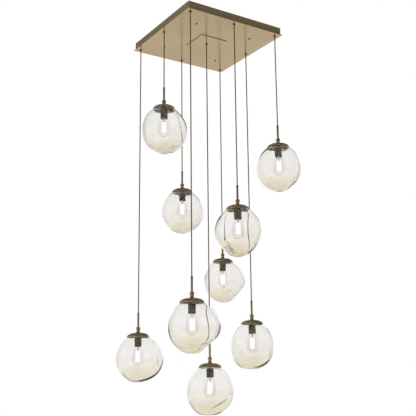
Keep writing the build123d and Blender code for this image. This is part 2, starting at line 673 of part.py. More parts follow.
def main():
    os.makedirs("parts", exist_ok=True)
    write("canopy_frame", [canopy_frame()])
    write("canopy_plate", [canopy_plate()])
    write("access_cover", [access_cover()])
    write("canopy_screws", [canopy_screw(x, y) for x, y in screw_places()])
    numbers = [light.number for light in LIGHTS]
    bushings = [bushing(number) for number in numbers]
    nuts = [bushing_nut(number) for number in numbers]
    write("cord_bushings", bushings + nuts)
    write("canopy_wiring", [inner_lead(lead) for lead in LEADS] + [terminal_block()])

    stem = [rod(), ferrule(), coupler(), nipple()]
    dome = cap()
    holder = [socket_cup(), socket_core()]
    lamp = [lamp_glass(), lamp_base(), filament_mount()]
    for light in LIGHTS:
        number = light.number
        here = Pos(*place(number), cap_level(number))
        globe = Globe(light)
        write(f"cord_{number}", [cord(number)])
        write(f"stem_{number}", [here * piece for piece in stem])
        write(f"cap_{number}", [here * dome, here * shade_bar(globe)])
        write(f"shade_{number}", [here * shade(globe)])
        write(f"socket_{number}", [here * piece for piece in holder])
        write(f"lamp_{number}", [here * piece for piece in lamp])


main()
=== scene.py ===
# %% [markdown]
# # A nine-light cluster pendant
# A square canopy holds nine cords on a 3 x 3 grid. Each cord ends in a thin brass rod, a turned coupler, a
# shallow dome, a blown globe and a clear lamp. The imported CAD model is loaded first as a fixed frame, and
# every piece below is made in that frame, in metres, so that it sits where the CAD says.

# %% Load the frame
import math

import bmesh
import bpy
import numpy as np
from mathutils import Matrix, Vector


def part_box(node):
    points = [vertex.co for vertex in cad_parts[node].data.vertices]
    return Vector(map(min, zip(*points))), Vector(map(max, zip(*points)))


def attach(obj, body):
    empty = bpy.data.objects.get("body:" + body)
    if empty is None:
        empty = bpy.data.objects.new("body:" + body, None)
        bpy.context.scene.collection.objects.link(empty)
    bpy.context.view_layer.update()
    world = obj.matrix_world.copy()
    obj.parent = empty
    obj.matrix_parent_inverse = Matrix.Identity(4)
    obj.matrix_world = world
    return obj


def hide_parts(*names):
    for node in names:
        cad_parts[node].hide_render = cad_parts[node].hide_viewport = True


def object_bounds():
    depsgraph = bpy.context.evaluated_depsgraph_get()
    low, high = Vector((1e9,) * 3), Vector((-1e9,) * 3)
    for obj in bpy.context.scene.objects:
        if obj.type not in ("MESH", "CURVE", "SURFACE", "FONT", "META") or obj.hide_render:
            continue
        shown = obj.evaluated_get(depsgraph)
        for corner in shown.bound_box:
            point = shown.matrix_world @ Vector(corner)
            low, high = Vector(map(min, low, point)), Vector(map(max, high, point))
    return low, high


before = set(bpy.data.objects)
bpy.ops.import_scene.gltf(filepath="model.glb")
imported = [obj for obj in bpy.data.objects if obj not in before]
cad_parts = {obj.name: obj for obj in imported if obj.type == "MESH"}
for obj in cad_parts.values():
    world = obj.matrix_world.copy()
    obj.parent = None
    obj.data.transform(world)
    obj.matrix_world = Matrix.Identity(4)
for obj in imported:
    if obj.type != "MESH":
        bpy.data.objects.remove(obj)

MM = 0.001
cad_low, cad_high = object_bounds()
PLATE_BOTTOM = round(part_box("canopy_plate")[0][2] / MM, 2)
print("CAD box", [round(v, 3) for v in cad_low], [round(v, 3) for v in cad_high])
print("the face plate's underside is at", PLATE_BOTTOM, "mm")

# %% [markdown]
# ## The camera
# The light was photographed from below its middle, turned so that one corner of the canopy points at the
# camera. The place and the angles come from fitting the nine ports and the caps in perspective. A camera
# could be turned with three Euler angles, but a matrix with its right, up and backward directions as
# columns says the same without a question of order.

# %% Camera
CAMERA_PLACE = Vector((-1.7549, -2.7139, PLATE_BOTTOM * MM - 1.5139))
CAMERA_YAW = math.radians(32.87)
CAMERA_PITCH = math.radians(11.86)
CAMERA_ROLL = math.radians(-0.61)
CAMERA_LENS = 60.58
SENSOR_WIDTH = 36.0

forward = Vector((math.sin(CAMERA_YAW) * math.cos(CAMERA_PITCH),
                  math.cos(CAMERA_YAW) * math.cos(CAMERA_PITCH), math.sin(CAMERA_PITCH)))
level_right = Vector((math.cos(CAMERA_YAW), -math.sin(CAMERA_YAW), 0))
level_up = level_right.cross(forward)
camera_right = math.cos(CAMERA_ROLL) * level_right + math.sin(CAMERA_ROLL) * level_up
camera_up = math.cos(CAMERA_ROLL) * level_up - math.sin(CAMERA_ROLL) * level_right

camera = bpy.data.objects.new("camera", bpy.data.cameras.new("camera"))
camera.data.lens = CAMERA_LENS
camera.data.sensor_width = SENSOR_WIDTH
camera.data.clip_end = 60.0
camera.matrix_world = Matrix((
    (camera_right.x, camera_up.x, -forward.x, CAMERA_PLACE.x),
    (camera_right.y, camera_up.y, -forward.y, CAMERA_PLACE.y),
    (camera_right.z, camera_up.z, -forward.z, CAMERA_PLACE.z),
    (0, 0, 0, 1)))
bpy.context.collection.objects.link(camera)
bpy.context.scene.camera = camera
print("camera looks along", [round(v, 3) for v in forward])

# %% [markdown]
# ## The nine lights
# The lights differ only in their port, in how far they hang and in their globe. One table holds that. A
# press is one touch of the glassblower's pad, or a bulge where its depth is negative, and a crease is a
# short fold left between two touches.

# %% The table of lights
RIGHT = -33.0
LEFT = 147.0
FRONT = -123.0
BACK = 57.0
PORT_PITCH = 240.0


def light(number, column, row, drop, width, height, lean, lean_azimuth, egg, presses, creases=()):
    """One light: millimetres and degrees, with its port's place and its cap's level worked out."""
    return dict(number=number, x=column * PORT_PITCH, y=row * PORT_PITCH, cap=PLATE_BOTTOM - drop,
                width=width, height=height, lean=lean, lean_azimuth=lean_azimuth, egg=egg,
                presses=presses, creases=creases)


# A press: azimuth, elevation, spread, depth. A crease: its two ends' azimuths and elevations, width, depth.
LIGHTS = [
    light(1, -1, 1, 1409, 219, 224, 7.0, RIGHT, 0.08,
          [(RIGHT, 45, 30, -4), (LEFT, -42, 28, 5), (FRONT, -30, 30, 4)],
          [(-70, 6, -62, -24, 5.0, 1.6)]),
    light(2, -1, 0, 372, 206, 232, 4.5, RIGHT, 0.08,
          [(LEFT, 36, 24, -6), (RIGHT, 52, 22, 5), (LEFT, -58, 28, 4), (-75, 0, 24, 6)],
          [(-100, -64, -62, -50, 3.5, 2.2)]),
    light(3, 0, 1, 693, 211, 227, 2.0, RIGHT, 0.07,
          [(LEFT, -42, 30, 5), (RIGHT, -48, 30, 5)]),
    light(4, -1, -1, 1283, 217, 226, 10.0, RIGHT, 0.08,
          [(RIGHT, -48, 27, 17), (LEFT, -40, 26, 3), (BACK, 10, 32, 4)],
          [(-92, -46, -50, -24, 4.0, 1.8)]),
    light(5, 0, 0, 1549, 208, 227, 0.0, RIGHT, 0.08,
          [(LEFT, -70, 26, -6), (-80, -48, 20, 7), (BACK, 15, 30, 3)],
          [(-120, -43, -73, -19, 3.2, 3.4)]),
    light(6, 1, 1, 1031, 209, 224, 9.0, RIGHT, 0.08,
          [(RIGHT, -42, 25, 17), (LEFT, -50, 26, 4)]),
    light(7, 0, -1, 866, 209, 230, 0.0, RIGHT, 0.08,
          [(LEFT, -40, 26, 11), (RIGHT, -38, 28, 8), (FRONT, 20, 34, 3)],
          [(-160, -35, -155, -72, 3.2, 3.0)]),
    light(8, 1, 0, 1353, 203, 229, 0.0, LEFT, 0.11,
          [(LEFT, -62, 26, -5), (RIGHT, -20, 24, 3), (FRONT, 5, 28, 5)],
          [(-70, -8, -60, -42, 5.0, 1.6)]),
    light(9, 1, -1, 546, 210, 229, 0.0, LEFT, 0.07,
          [(RIGHT, -50, 26, 7), (RIGHT, 13, 18, 7), (LEFT, -38, 26, 4)],
          [(-66, 4, -58, -34, 4.0, 1.8)]),
]
print(len(LIGHTS), "lights, the lowest cap at", min(one["cap"] for one in LIGHTS), "mm")

# %% [markdown]
# ## A small kit for node materials
# A material is a graph of nodes. It could be built line by line, with one line for each node, setting and
# link. These helpers keep each graph short to read: `add` makes a node and sets its inputs, and a value
# that is itself an output socket becomes a link.

# %% Helpers for nodes
def add(tree, kind, settings=None, **inputs):
    """A node with its settings and inputs. An input's name has _ for a space, and an output is linked."""
    node = tree.nodes.new(kind)
    for key, value in (settings or {}).items():
        setattr(node, key, value)
    for key, value in inputs.items():
        socket = node.inputs[int(key[1:])] if key[1:].isdigit() else node.inputs[key.replace("_", " ")]
        if isinstance(value, bpy.types.NodeSocket):
            tree.links.new(value, socket)
        else:
            socket.default_value = value
    return node


def maths(tree, operation, a, b=0.0, clamp=False):
    """One step of arithmetic."""
    return add(tree, "ShaderNodeMath", {"operation": operation, "use_clamp": clamp}, _0=a, _1=b).outputs[0]


def ramp(tree, value, low, high, to_low=0.0, to_high=1.0):
    """A value taken smoothly from one range to another."""
    node = add(tree, "ShaderNodeMapRange", {"interpolation_type": "SMOOTHSTEP"}, Value=value,
               From_Min=low, From_Max=high, To_Min=to_low, To_Max=to_high)
    return node.outputs["Result"]


def blend_colours(tree, factor, first, second, mode="MIX"):
    """Two colours mixed by a factor."""
    node = add(tree, "ShaderNodeMix", {"data_type": "RGBA", "blend_type": mode})
    for index, value in ((0, factor), (6, first), (7, second)):
        if isinstance(value, bpy.types.NodeSocket):
            tree.links.new(value, node.inputs[index])
        else:
            node.inputs[index].default_value = value
    return node.outputs[2]


def new_material(name):
    """An empty node material with its Principled shader."""
    material = bpy.data.materials.new(name)
    material.use_nodes = True
    tree = material.node_tree
    shader = next(n for n in tree.nodes if n.type == "BSDF_PRINCIPLED")
    return material, tree, shader


def new_group(name, inputs, outputs):
    """A shader group: inputs are name, socket kind and default, outputs are name and socket kind."""
    group = bpy.data.node_groups.new(name, "ShaderNodeTree")
    for label, kind, default in inputs:
        socket = group.interface.new_socket(label, in_out="INPUT", socket_type=kind)
        socket.default_value = default
    for label, kind in outputs:
        group.interface.new_socket(label, in_out="OUTPUT", socket_type=kind)
    return group, group.nodes.new("NodeGroupInput").outputs, group.nodes.new("NodeGroupOutput").inputs


def place_group(tree, group, **inputs):
    """A group placed in a material, with its own values."""
    return add(tree, "ShaderNodeGroup", {"node_tree": group}, **inputs).outputs


def link(tree, source, target):
    """A link from an output to an input."""
    tree.links.new(source, target)

# %% [markdown]
# ## Effects that several finishes share
# All nine lights hang from ports 240 mm apart, so wrapping X and Y at that pitch gives every light the same
# coordinates round its own axis. Turned brass shows faint rings from the lathe, every metal has cloudy
# patina, and handled edges are rubbed brighter. Each effect is one group with named inputs.

# %% Coordinates round each light's own axis
def axis_coordinates(tree):
    """Object coordinates with X and Y measured from the nearest port's axis."""
    coordinates = add(tree, "ShaderNodeTexCoord").outputs["Object"]
    half = PORT_PITCH * MM / 2
    wrapped = add(tree, "ShaderNodeVectorMath", {"operation": "WRAP"}, _0=coordinates,
                  _1=(half, half, 1000.0), _2=(-half, -half, -1000.0)).outputs[0]
    return wrapped


FLOAT = "NodeSocketFloat"
FULL_TURN = 6.2832

# %% Lathe rings
rings, ring_in, ring_out = new_group(
    "lathe_rings",
    [("Rings per mm", FLOAT, 1.2), ("Waver", FLOAT, 1.5), ("Breakup", FLOAT, 120.0)],
    [("Height", FLOAT), ("Mask", FLOAT)])
local = axis_coordinates(rings)
split = add(rings, "ShaderNodeSeparateXYZ", Vector=local).outputs
radius = maths(rings, "SQRT", maths(rings, "ADD", maths(rings, "POWER", split[0], 2.0),
                                    maths(rings, "POWER", split[1], 2.0)))
run = maths(rings, "MULTIPLY", maths(rings, "ADD", radius, split[2]), 1 / MM)
waver = add(rings, "ShaderNodeTexNoise", Vector=local, Scale=ring_in["Breakup"], Detail=3.0).outputs[0]
phase = maths(rings, "ADD", maths(rings, "MULTIPLY", run, ring_in["Rings per mm"]),
              maths(rings, "MULTIPLY", waver, ring_in["Waver"]))
wave = maths(rings, "SINE", maths(rings, "MULTIPLY", phase, FULL_TURN))
half_wave = maths(rings, "MULTIPLY_ADD", wave, 0.5)
half_wave.node.inputs[2].default_value = 0.5
link(rings, half_wave, ring_out["Height"])
link(rings, maths(rings, "MULTIPLY", half_wave, waver), ring_out["Mask"])
print(rings.name, "has", len(rings.nodes), "nodes")

# %% Patina
patina, patina_in, patina_out = new_group(
    "patina", [("Scale", FLOAT, 18.0), ("Low", FLOAT, 0.35), ("High", FLOAT, 0.7)],
    [("Mask", FLOAT), ("Speckle", FLOAT)])
coordinates = add(patina, "ShaderNodeTexCoord").outputs["Object"]
cloud = add(patina, "ShaderNodeTexNoise", Vector=coordinates, Scale=patina_in["Scale"], Detail=5.0,
            Roughness=0.6).outputs[0]
link(patina, ramp(patina, cloud, patina_in["Low"], patina_in["High"]), patina_out["Mask"])
grains = maths(patina, "MULTIPLY", patina_in["Scale"], 40.0)
speckle = add(patina, "ShaderNodeTexNoise", Vector=coordinates, Scale=grains, Detail=2.0).outputs[0]
link(patina, ramp(patina, speckle, 0.35, 0.65), patina_out["Speckle"])
print(patina.name, "has", len(patina.nodes), "nodes")

# %% Rubbed edges
rubbed, rubbed_in, rubbed_out = new_group(
    "rubbed_edges", [("Sharpness", FLOAT, 0.55), ("Breakup", FLOAT, 90.0)], [("Mask", FLOAT)])
pointed = rubbed.nodes.new("ShaderNodeNewGeometry").outputs["Pointiness"]
coordinates = add(rubbed, "ShaderNodeTexCoord").outputs["Object"]
gaps = add(rubbed, "ShaderNodeTexNoise", Vector=coordinates, Scale=rubbed_in["Breakup"],
           Detail=3.0).outputs[0]
edge = ramp(rubbed, pointed, 0.5, rubbed_in["Sharpness"])
link(rubbed, maths(rubbed, "MULTIPLY", edge, ramp(rubbed, gaps, 0.3, 0.6)), rubbed_out["Mask"])
print("shared groups:", rings.name, patina.name, rubbed.name)

# %% [markdown]
# ## The canopy's satin champagne
# The sheet metal has a lacquered champagne finish: a warm tan with a soft gloss, in which each cord shows
# as a faint upright streak. A half-metallic Principled shader gives both the body colour and the streaks,
# and a fine stretched noise is the brushed grain under the lacquer.

# %% Champagne finish
champagne, tree, shader = new_material("champagne_satin")
coordinates = add(tree, "ShaderNodeTexCoord").outputs["Object"]
stretched = add(tree, "ShaderNodeMapping", Vector=coordinates, Scale=(6.0, 500.0, 500.0)).outputs[0]
grain = add(tree, "ShaderNodeTexNoise", Vector=stretched, Scale=1.0, Detail=3.0).outputs[0]
clouds = place_group(tree, patina, Scale=5.0, Low=0.3, High=0.75)
body = blend_colours(tree, clouds["Mask"], (0.425, 0.318, 0.162, 1), (0.46, 0.348, 0.182, 1))
link(tree, body, shader.inputs["Base Color"])
link(tree, ramp(tree, grain, 0.2, 0.8, 0.14, 0.18), shader.inputs["Roughness"])
shader.inputs["Metallic"].default_value = 0.6
bump = add(tree, "ShaderNodeBump", Strength=0.012, Distance=0.0001, Height=grain)
link(tree, bump.outputs[0], shader.inputs["Normal"])
print(champagne.name, "has", len(tree.nodes), "nodes")

# %% [markdown]
# ## Brass
# The rods, couplers and domes are brushed brass with a darkened lacquer. It is redder and brighter where the
# couplers are handled, olive in the thin rods, and dark in the bushings and the lampholders. The domes'
# undersides take a much darker copy of their brass, which is painted shade. One recipe makes every brass from
# two colours and a gloss.

# %% Brass finishes
def brass(name, deep, bright, roughness, ring_density, ring_strength):
    """A turned brass: two colours mixed by patina, lathe rings, and rubbed edges."""
    material, tree, shader = new_material(name)
    clouds = place_group(tree, patina, Scale=30.0, Low=0.3, High=0.7)
    lathe = place_group(tree, rings, Rings_per_mm=ring_density, Waver=1.2, Breakup=90.0)
    worn = place_group(tree, rubbed, Sharpness=0.58, Breakup=150.0)
    body = blend_colours(tree, clouds["Mask"], deep, bright)
    lighter = tuple(min(1.0, channel * 1.35) for channel in bright[:3]) + (1,)
    body = blend_colours(tree, worn["Mask"], body, lighter)
    link(tree, body, shader.inputs["Base Color"])
    rough = maths(tree, "ADD", ramp(tree, lathe["Mask"], 0.0, 1.0, roughness, roughness + 0.1),
                  maths(tree, "MULTIPLY", clouds["Speckle"], 0.05))
    link(tree, rough, shader.inputs["Roughness"])
    shader.inputs["Metallic"].default_value = 0.7
    bump = add(tree, "ShaderNodeBump", Strength=ring_strength, Distance=0.0002, Height=lathe["Height"])
    link(tree, bump.outputs[0], shader.inputs["Normal"])
    return material


rod_brass = brass("rod_brass", (0.19, 0.158, 0.058, 1), (0.26, 0.215, 0.085, 1), 0.36, 0.6, 0.1)
coupler_brass = brass("coupler_brass", (0.31, 0.215, 0.075, 1), (0.39, 0.28, 0.105, 1), 0.34, 0.8, 0.15)
dome_brass = brass("dome_brass", (0.29, 0.228, 0.128, 1), (0.39, 0.305, 0.178, 1), 0.36, 0.5, 0.12)
# The dome's underside takes this much darker copy: painted shade for its hollow.
dome_painted_shade = brass("dome_painted_shade", (0.095, 0.082, 0.048, 1), (0.145, 0.125, 0.072, 1), 0.45, 0.5, 0.1)
bushing_brass = brass("bushing_brass", (0.045, 0.032, 0.012, 1), (0.075, 0.055, 0.022, 1), 0.4, 0.6, 0.1)
holder_brass = brass("holder_brass", (0.066, 0.058, 0.028, 1), (0.105, 0.093, 0.048, 1), 0.5, 0.4, 0.12)
print("brasses:", rod_brass.name, coupler_brass.name, dome_brass.name, dome_painted_shade.name, bushing_brass.name,
      holder_brass.name)

# %% [markdown]
# ## Dark fittings
# The face plate's four screws are blacked steel, and the lampholder's insulating core ends in a dark lip.
# Both are dull and nearly even, so one recipe with a faint mottle and rubbed edges makes them.

# %% Black steel and the lampholder's lip
def dark_finish(name, deep, worn_colour, roughness, metallic):
    """A dark finish that is mottled and rubbed at its edges."""
    material, tree, shader = new_material(name)
    clouds = place_group(tree, patina, Scale=60.0, Low=0.35, High=0.7)
    worn = place_group(tree, rubbed, Sharpness=0.57, Breakup=200.0)
    body = blend_colours(tree, maths(tree, "MULTIPLY", worn["Mask"], 0.6), deep, worn_colour)
    link(tree, body, shader.inputs["Base Color"])
    link(tree, ramp(tree, clouds["Mask"], 0, 1, roughness, roughness + 0.15), shader.inputs["Roughness"])
    shader.inputs["Metallic"].default_value = metallic
    bump = add(tree, "ShaderNodeBump", Strength=0.1, Distance=0.0001, Height=clouds["Speckle"])
    link(tree, bump.outputs[0], shader.inputs["Normal"])
    return material


black_steel = dark_finish("black_steel", (0.008, 0.006, 0.004, 1), (0.03, 0.022, 0.014, 1), 0.6, 0.1)
dark_lip = dark_finish("dark_lip", (0.020, 0.017, 0.014, 1), (0.06, 0.05, 0.04, 1), 0.4, 0.0)
print("dark finishes:", black_steel.name, dark_lip.name)

# %% [markdown]
# ## The cords' woven sleeve
# Each cord is a round flex in a fine taupe sleeve. Real threads would be far too many faces, so the weave
# is a pattern of two spirals round the cord that cross: the angle round the axis plus the height gives one,
# and the angle minus the height the other.

# %% The weave
weave, weave_in, weave_out = new_group(
    "woven_sleeve", [("Strands", FLOAT, 12.0), ("Pitch mm", FLOAT, 5.0)],
    [("Height", FLOAT), ("Mask", FLOAT)])
split = add(weave, "ShaderNodeSeparateXYZ", Vector=axis_coordinates(weave)).outputs
angle = maths(weave, "MULTIPLY", maths(weave, "ARCTAN2", split[1], split[0]), weave_in["Strands"])
climb = maths(weave, "DIVIDE", maths(weave, "MULTIPLY", split[2], FULL_TURN / MM), weave_in["Pitch mm"])
one_way = maths(weave, "SINE", maths(weave, "ADD", angle, climb))
other_way = maths(weave, "SINE", maths(weave, "SUBTRACT", angle, climb))
crossed = maths(weave, "MAXIMUM", one_way, other_way)
link(weave, crossed, weave_out["Height"])
link(weave, ramp(weave, crossed, -0.6, 0.9), weave_out["Mask"])
print(weave.name, "has", len(weave.nodes), "nodes")

# %% The sleeve's material
cord_sleeve, tree, shader = new_material("cord_sleeve")
threads = place_group(tree, weave, Strands=10.0, Pitch_mm=4.0)
clouds = place_group(tree, patina, Scale=14.0, Low=0.35, High=0.7)
body = blend_colours(tree, threads["Mask"], (0.060, 0.041, 0.017, 1), (0.125, 0.088, 0.038, 1))
body = blend_colours(tree, maths(tree, "MULTIPLY", clouds["Mask"], 0.35), body, (0.085, 0.062, 0.03, 1))
link(tree, body, shader.inputs["Base Color"])
link(tree, ramp(tree, threads["Mask"], 0, 1, 0.75, 0.6), shader.inputs["Roughness"])
bump = add(tree, "ShaderNodeBump", Strength=0.4, Distance=0.0003, Height=threads["Height"])
link(tree, bump.outputs[0], shader.inputs["Normal"])

# %% [markdown]
# Inside the canopy the same cords run on to a pale terminal block. They are one CAD node, so its finish
# tells them apart by place: what lies within the block's box is moulded nylon, and the rest is sleeve.

# %% Inner wiring finish
BLOCK_X, BLOCK_Y = 0.104, -0.070
BLOCK_HALF_LENGTH, BLOCK_HALF_WIDTH = 0.0323, 0.0113
inner_wiring, tree, shader = new_material("inner_wiring")
coordinates = add(tree, "ShaderNodeTexCoord").outputs["Object"]
split = add(tree, "ShaderNodeSeparateXYZ", Vector=coordinates).outputs
from_x = maths(tree, "ABSOLUTE", maths(tree, "SUBTRACT", split[0], BLOCK_X))
from_y = maths(tree, "ABSOLUTE", maths(tree, "SUBTRACT", split[1], BLOCK_Y))
in_block = maths(tree, "MULTIPLY", maths(tree, "LESS_THAN", from_x, BLOCK_HALF_LENGTH),
                 maths(tree, "LESS_THAN", from_y, BLOCK_HALF_WIDTH))
clouds = place_group(tree, patina, Scale=40.0, Low=0.3, High=0.7)
sleeve = blend_colours(tree, clouds["Speckle"], (0.09, 0.08, 0.05, 1), (0.15, 0.13, 0.085, 1))
nylon = blend_colours(tree, clouds["Mask"], (0.62, 0.58, 0.48, 1), (0.7, 0.66, 0.56, 1))
link(tree, blend_colours(tree, in_block, sleeve, nylon), shader.inputs["Base Color"])
link(tree, ramp(tree, in_block, 0, 1, 0.7, 0.45), shader.inputs["Roughness"])
bump = add(tree, "ShaderNodeBump", Strength=0.2, Distance=0.0002, Height=clouds["Speckle"])
link(tree, bump.outputs[0], shader.inputs["Normal"])
print("soft finishes:", cord_sleeve.name, inner_wiring.name)

# %% [markdown]
# ## Glass
# The globes are clear at the shoulder and gather a peach tint towards the bottom, where the molten glass ran
# thick. Along a deep crease the glass is painted dark: a painted shade for the dark line the fold draws. Both
# follow the surface, so each globe carries two attributes from 0 to 1, the tint's share and the painted shade
# along the creases. The wall is real, so its edges darken where the view runs along it. The lamps are thin
# clear glass.

# %% Blown glass
blown_glass, tree, shader = new_material("blown_glass")
gather = add(tree, "ShaderNodeAttribute", {"attribute_name": "gather"}).outputs["Fac"]
swirl_at = add(tree, "ShaderNodeMapping", Vector=add(tree, "ShaderNodeTexCoord").outputs["Object"],
               Scale=(9.0, 9.0, 16.0)).outputs[0]
swirl = add(tree, "ShaderNodeTexNoise", Vector=swirl_at, Scale=1.0, Detail=2.0, Distortion=0.6).outputs[0]
streaked = maths(tree, "ADD", gather, maths(tree, "MULTIPLY", maths(tree, "SUBTRACT", swirl, 0.5), 0.3),
                 clamp=True)
tint = blend_colours(tree, streaked, (0.952, 0.950, 0.942, 1), (0.848, 0.785, 0.66, 1))
# Painted shade: a near-black tint along the deep creases, for the dark line a fold draws.
crease_shade = add(tree, "ShaderNodeAttribute", {"attribute_name": "crease_shade"}).outputs["Fac"]
tint = blend_colours(tree, crease_shade, tint, (0.10, 0.08, 0.06, 1))
link(tree, tint, shader.inputs["Base Color"])
shader.inputs["Roughness"].default_value = 0.0
shader.inputs["IOR"].default_value = 1.48
shader.inputs["Transmission Weight"].default_value = 1.0
bump = add(tree, "ShaderNodeBump", Strength=0.06, Distance=0.002, Height=swirl)
link(tree, bump.outputs[0], shader.inputs["Normal"])
absorb = add(tree, "ShaderNodeVolumeAbsorption", Color=(0.78, 0.70, 0.60, 1), Density=20.0)
output = next(n for n in tree.nodes if n.type == "OUTPUT_MATERIAL")
link(tree, absorb.outputs[0], output.inputs["Volume"])
print(blown_glass.name, "has", len(tree.nodes), "nodes")

# %% Lamp glass
lamp_glass, tree, shader = new_material("lamp_glass")
shader.inputs["Roughness"].default_value = 0.0
shader.inputs["IOR"].default_value = 1.46
shader.inputs["Transmission Weight"].default_value = 1.0
haze = place_group(tree, patina, Scale=25.0, Low=0.3, High=0.8)
link(tree, blend_colours(tree, haze["Mask"], (0.97, 0.97, 0.97, 1), (0.945, 0.945, 0.94, 1)),
     shader.inputs["Base Color"])
print(lamp_glass.name, "has", len(tree.nodes), "nodes")

# %% [markdown]
# The lamp's filaments are lit, so brightly that they read as one white glow. A lamp object in each bulb would
# be slow and noisy behind two walls of glass, so the filaments glow by themselves, the glass mount between
# them gets a faint painted glow for the light it would catch from them, and the studio lamps light the rest.

# %% Filament glow and the lamp's fittings
filament_glow, tree, shader = new_material("filament_glow")
clouds = place_group(tree, patina, Scale=150.0, Low=0.3, High=0.7)
glow = blend_colours(tree, clouds["Mask"], (1.0, 0.95, 0.86, 1), (1.0, 0.98, 0.93, 1))
link(tree, glow, shader.inputs["Emission Color"])
link(tree, glow, shader.inputs["Base Color"])
shader.inputs["Emission Strength"].default_value = 2.4
shader.inputs["Roughness"].default_value = 0.5

# The glass mount's faint emission is painted light, for the glow it would catch from the filaments.
mount_painted_glow, tree, shader = new_material("glass_mount_painted_glow")
clouds = place_group(tree, patina, Scale=80.0, Low=0.3, High=0.7)
milk = blend_colours(tree, clouds["Mask"], (0.93, 0.92, 0.88, 1), (1.0, 0.99, 0.95, 1))
link(tree, milk, shader.inputs["Base Color"])
link(tree, milk, shader.inputs["Emission Color"])
shader.inputs["Emission Strength"].default_value = 0.12
shader.inputs["Roughness"].default_value = 0.25

lamp_cap, tree, shader = new_material("lamp_cap_metal")
clouds = place_group(tree, patina, Scale=70.0, Low=0.3, High=0.7)
link(tree, blend_colours(tree, clouds["Mask"], (0.50, 0.49, 0.46, 1), (0.62, 0.61, 0.57, 1)),
     shader.inputs["Base Color"])
link(tree, ramp(tree, clouds["Speckle"], 0, 1, 0.25, 0.4), shader.inputs["Roughness"])
shader.inputs["Metallic"].default_value = 1.0
print("lamp finishes:", filament_glow.name, mount_painted_glow.name, lamp_cap.name)

# %% [markdown]
# ## Turned shapes
# Rods, couplers, domes, lampholders and lamps are all round. On the bench they are turned or blown in a
# mould, so a profile of radius and level, spun round the light's axis, makes each one. A Screw modifier
# could spin it too, but here the profile has to close on itself and may touch the axis. Corners of a
# profile are rounded first, because no real edge is perfectly sharp.

# %% Round a profile's corners
def rounded(points, radius, steps=3):
    """The same closed profile with its corners rounded by up to a radius, in the profile's own units."""
    result = []
    count = len(points)
    for index, corner in enumerate(points):
        before, after = points[index - 1], points[(index + 1) % count]
        corner = Vector(corner)
        back, on = Vector(before) - corner, Vector(after) - corner
        cut = min(radius, back.length * 0.4, on.length * 0.4)
        if corner.x < 1e-6 or cut < 1e-6:
            result.append(tuple(corner))
            continue
        start, end = corner + back.normalized() * cut, corner + on.normalized() * cut
        for step in range(steps + 1):
            share = step / steps
            spot = start * (1 - share) ** 2 + corner * 2 * share * (1 - share) + end * share ** 2
            result.append(tuple(spot))
    return result

# %% Spin a profile
def spin(shape, profile, x, y, level, slot=0, steps=64):
    """Spin a closed profile of (radius, height) in millimetres round a light's axis, into a bmesh."""
    columns = []
    for radius, height in profile:
        z = (level + height) * MM
        if radius < 1e-6:
            columns.append([shape.verts.new((x * MM, y * MM, z))] * steps)
            continue
        turns = [2 * math.pi * index / steps for index in range(steps)]
        columns.append([shape.verts.new(((x + radius * math.cos(a)) * MM, (y + radius * math.sin(a)) * MM, z))
                        for a in turns])
    faces = []
    for index, first in enumerate(columns):
        second = columns[(index + 1) % len(columns)]
        for step in range(steps):
            following = (step + 1) % steps
            corners = []
            for vertex in (first[step], first[following], second[following], second[step]):
                if vertex not in corners:
                    corners.append(vertex)
            if len(corners) > 2:
                faces.append(shape.faces.new(corners))
    for face in faces:
        face.material_index = slot
    bmesh.ops.recalc_face_normals(shape, faces=faces)

# %% Finish a turned shape as a piece
def piece(name, shape, materials, body, sharp=38.0):
    """Finish a bmesh as an object of this scene, shaded smooth but for its sharp edges."""
    mesh = bpy.data.meshes.new(name)
    shape.to_mesh(mesh)
    shape.free()
    for material in materials:
        mesh.materials.append(material)
    mesh.shade_smooth()
    mesh.set_sharp_from_angle(angle=math.radians(sharp))
    made = bpy.data.objects.new(name, mesh)
    bpy.context.collection.objects.link(made)
    if body:
        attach(made, body)
    return made


def tube_profile(outer, inner, low, high, edge=0.4):
    """A tube's closed profile with rounded ends."""
    return rounded([(outer, low), (outer, high), (inner, high), (inner, low)], edge)

# %% [markdown]
# ## The canopy
# The folded frame, the face plate and the centre cover are plain sheet metal, so the CAD's own meshes are
# right and only take the champagne finish. The wiring inside keeps its CAD mesh too.

# %% Finish the canopy's CAD nodes
CANOPY_FINISHES = {"canopy_frame": champagne, "canopy_plate": champagne, "access_cover": champagne,
                   "canopy_wiring": inner_wiring}
for node, finish in CANOPY_FINISHES.items():
    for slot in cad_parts[node].material_slots:
        slot.material = finish

# %% [markdown]
# ## Screws, bushings and nuts on a grid
# Four screws hold the face plate, and nine bushings with their nuts carry the cords. Each set is one form
# repeated on a grid, which is a job for Geometry Nodes: a Mesh Grid gives the points, the object's own mesh
# is placed on each of them, and one point in the middle may hang lower, because the centre bushing sits on
# the cover.

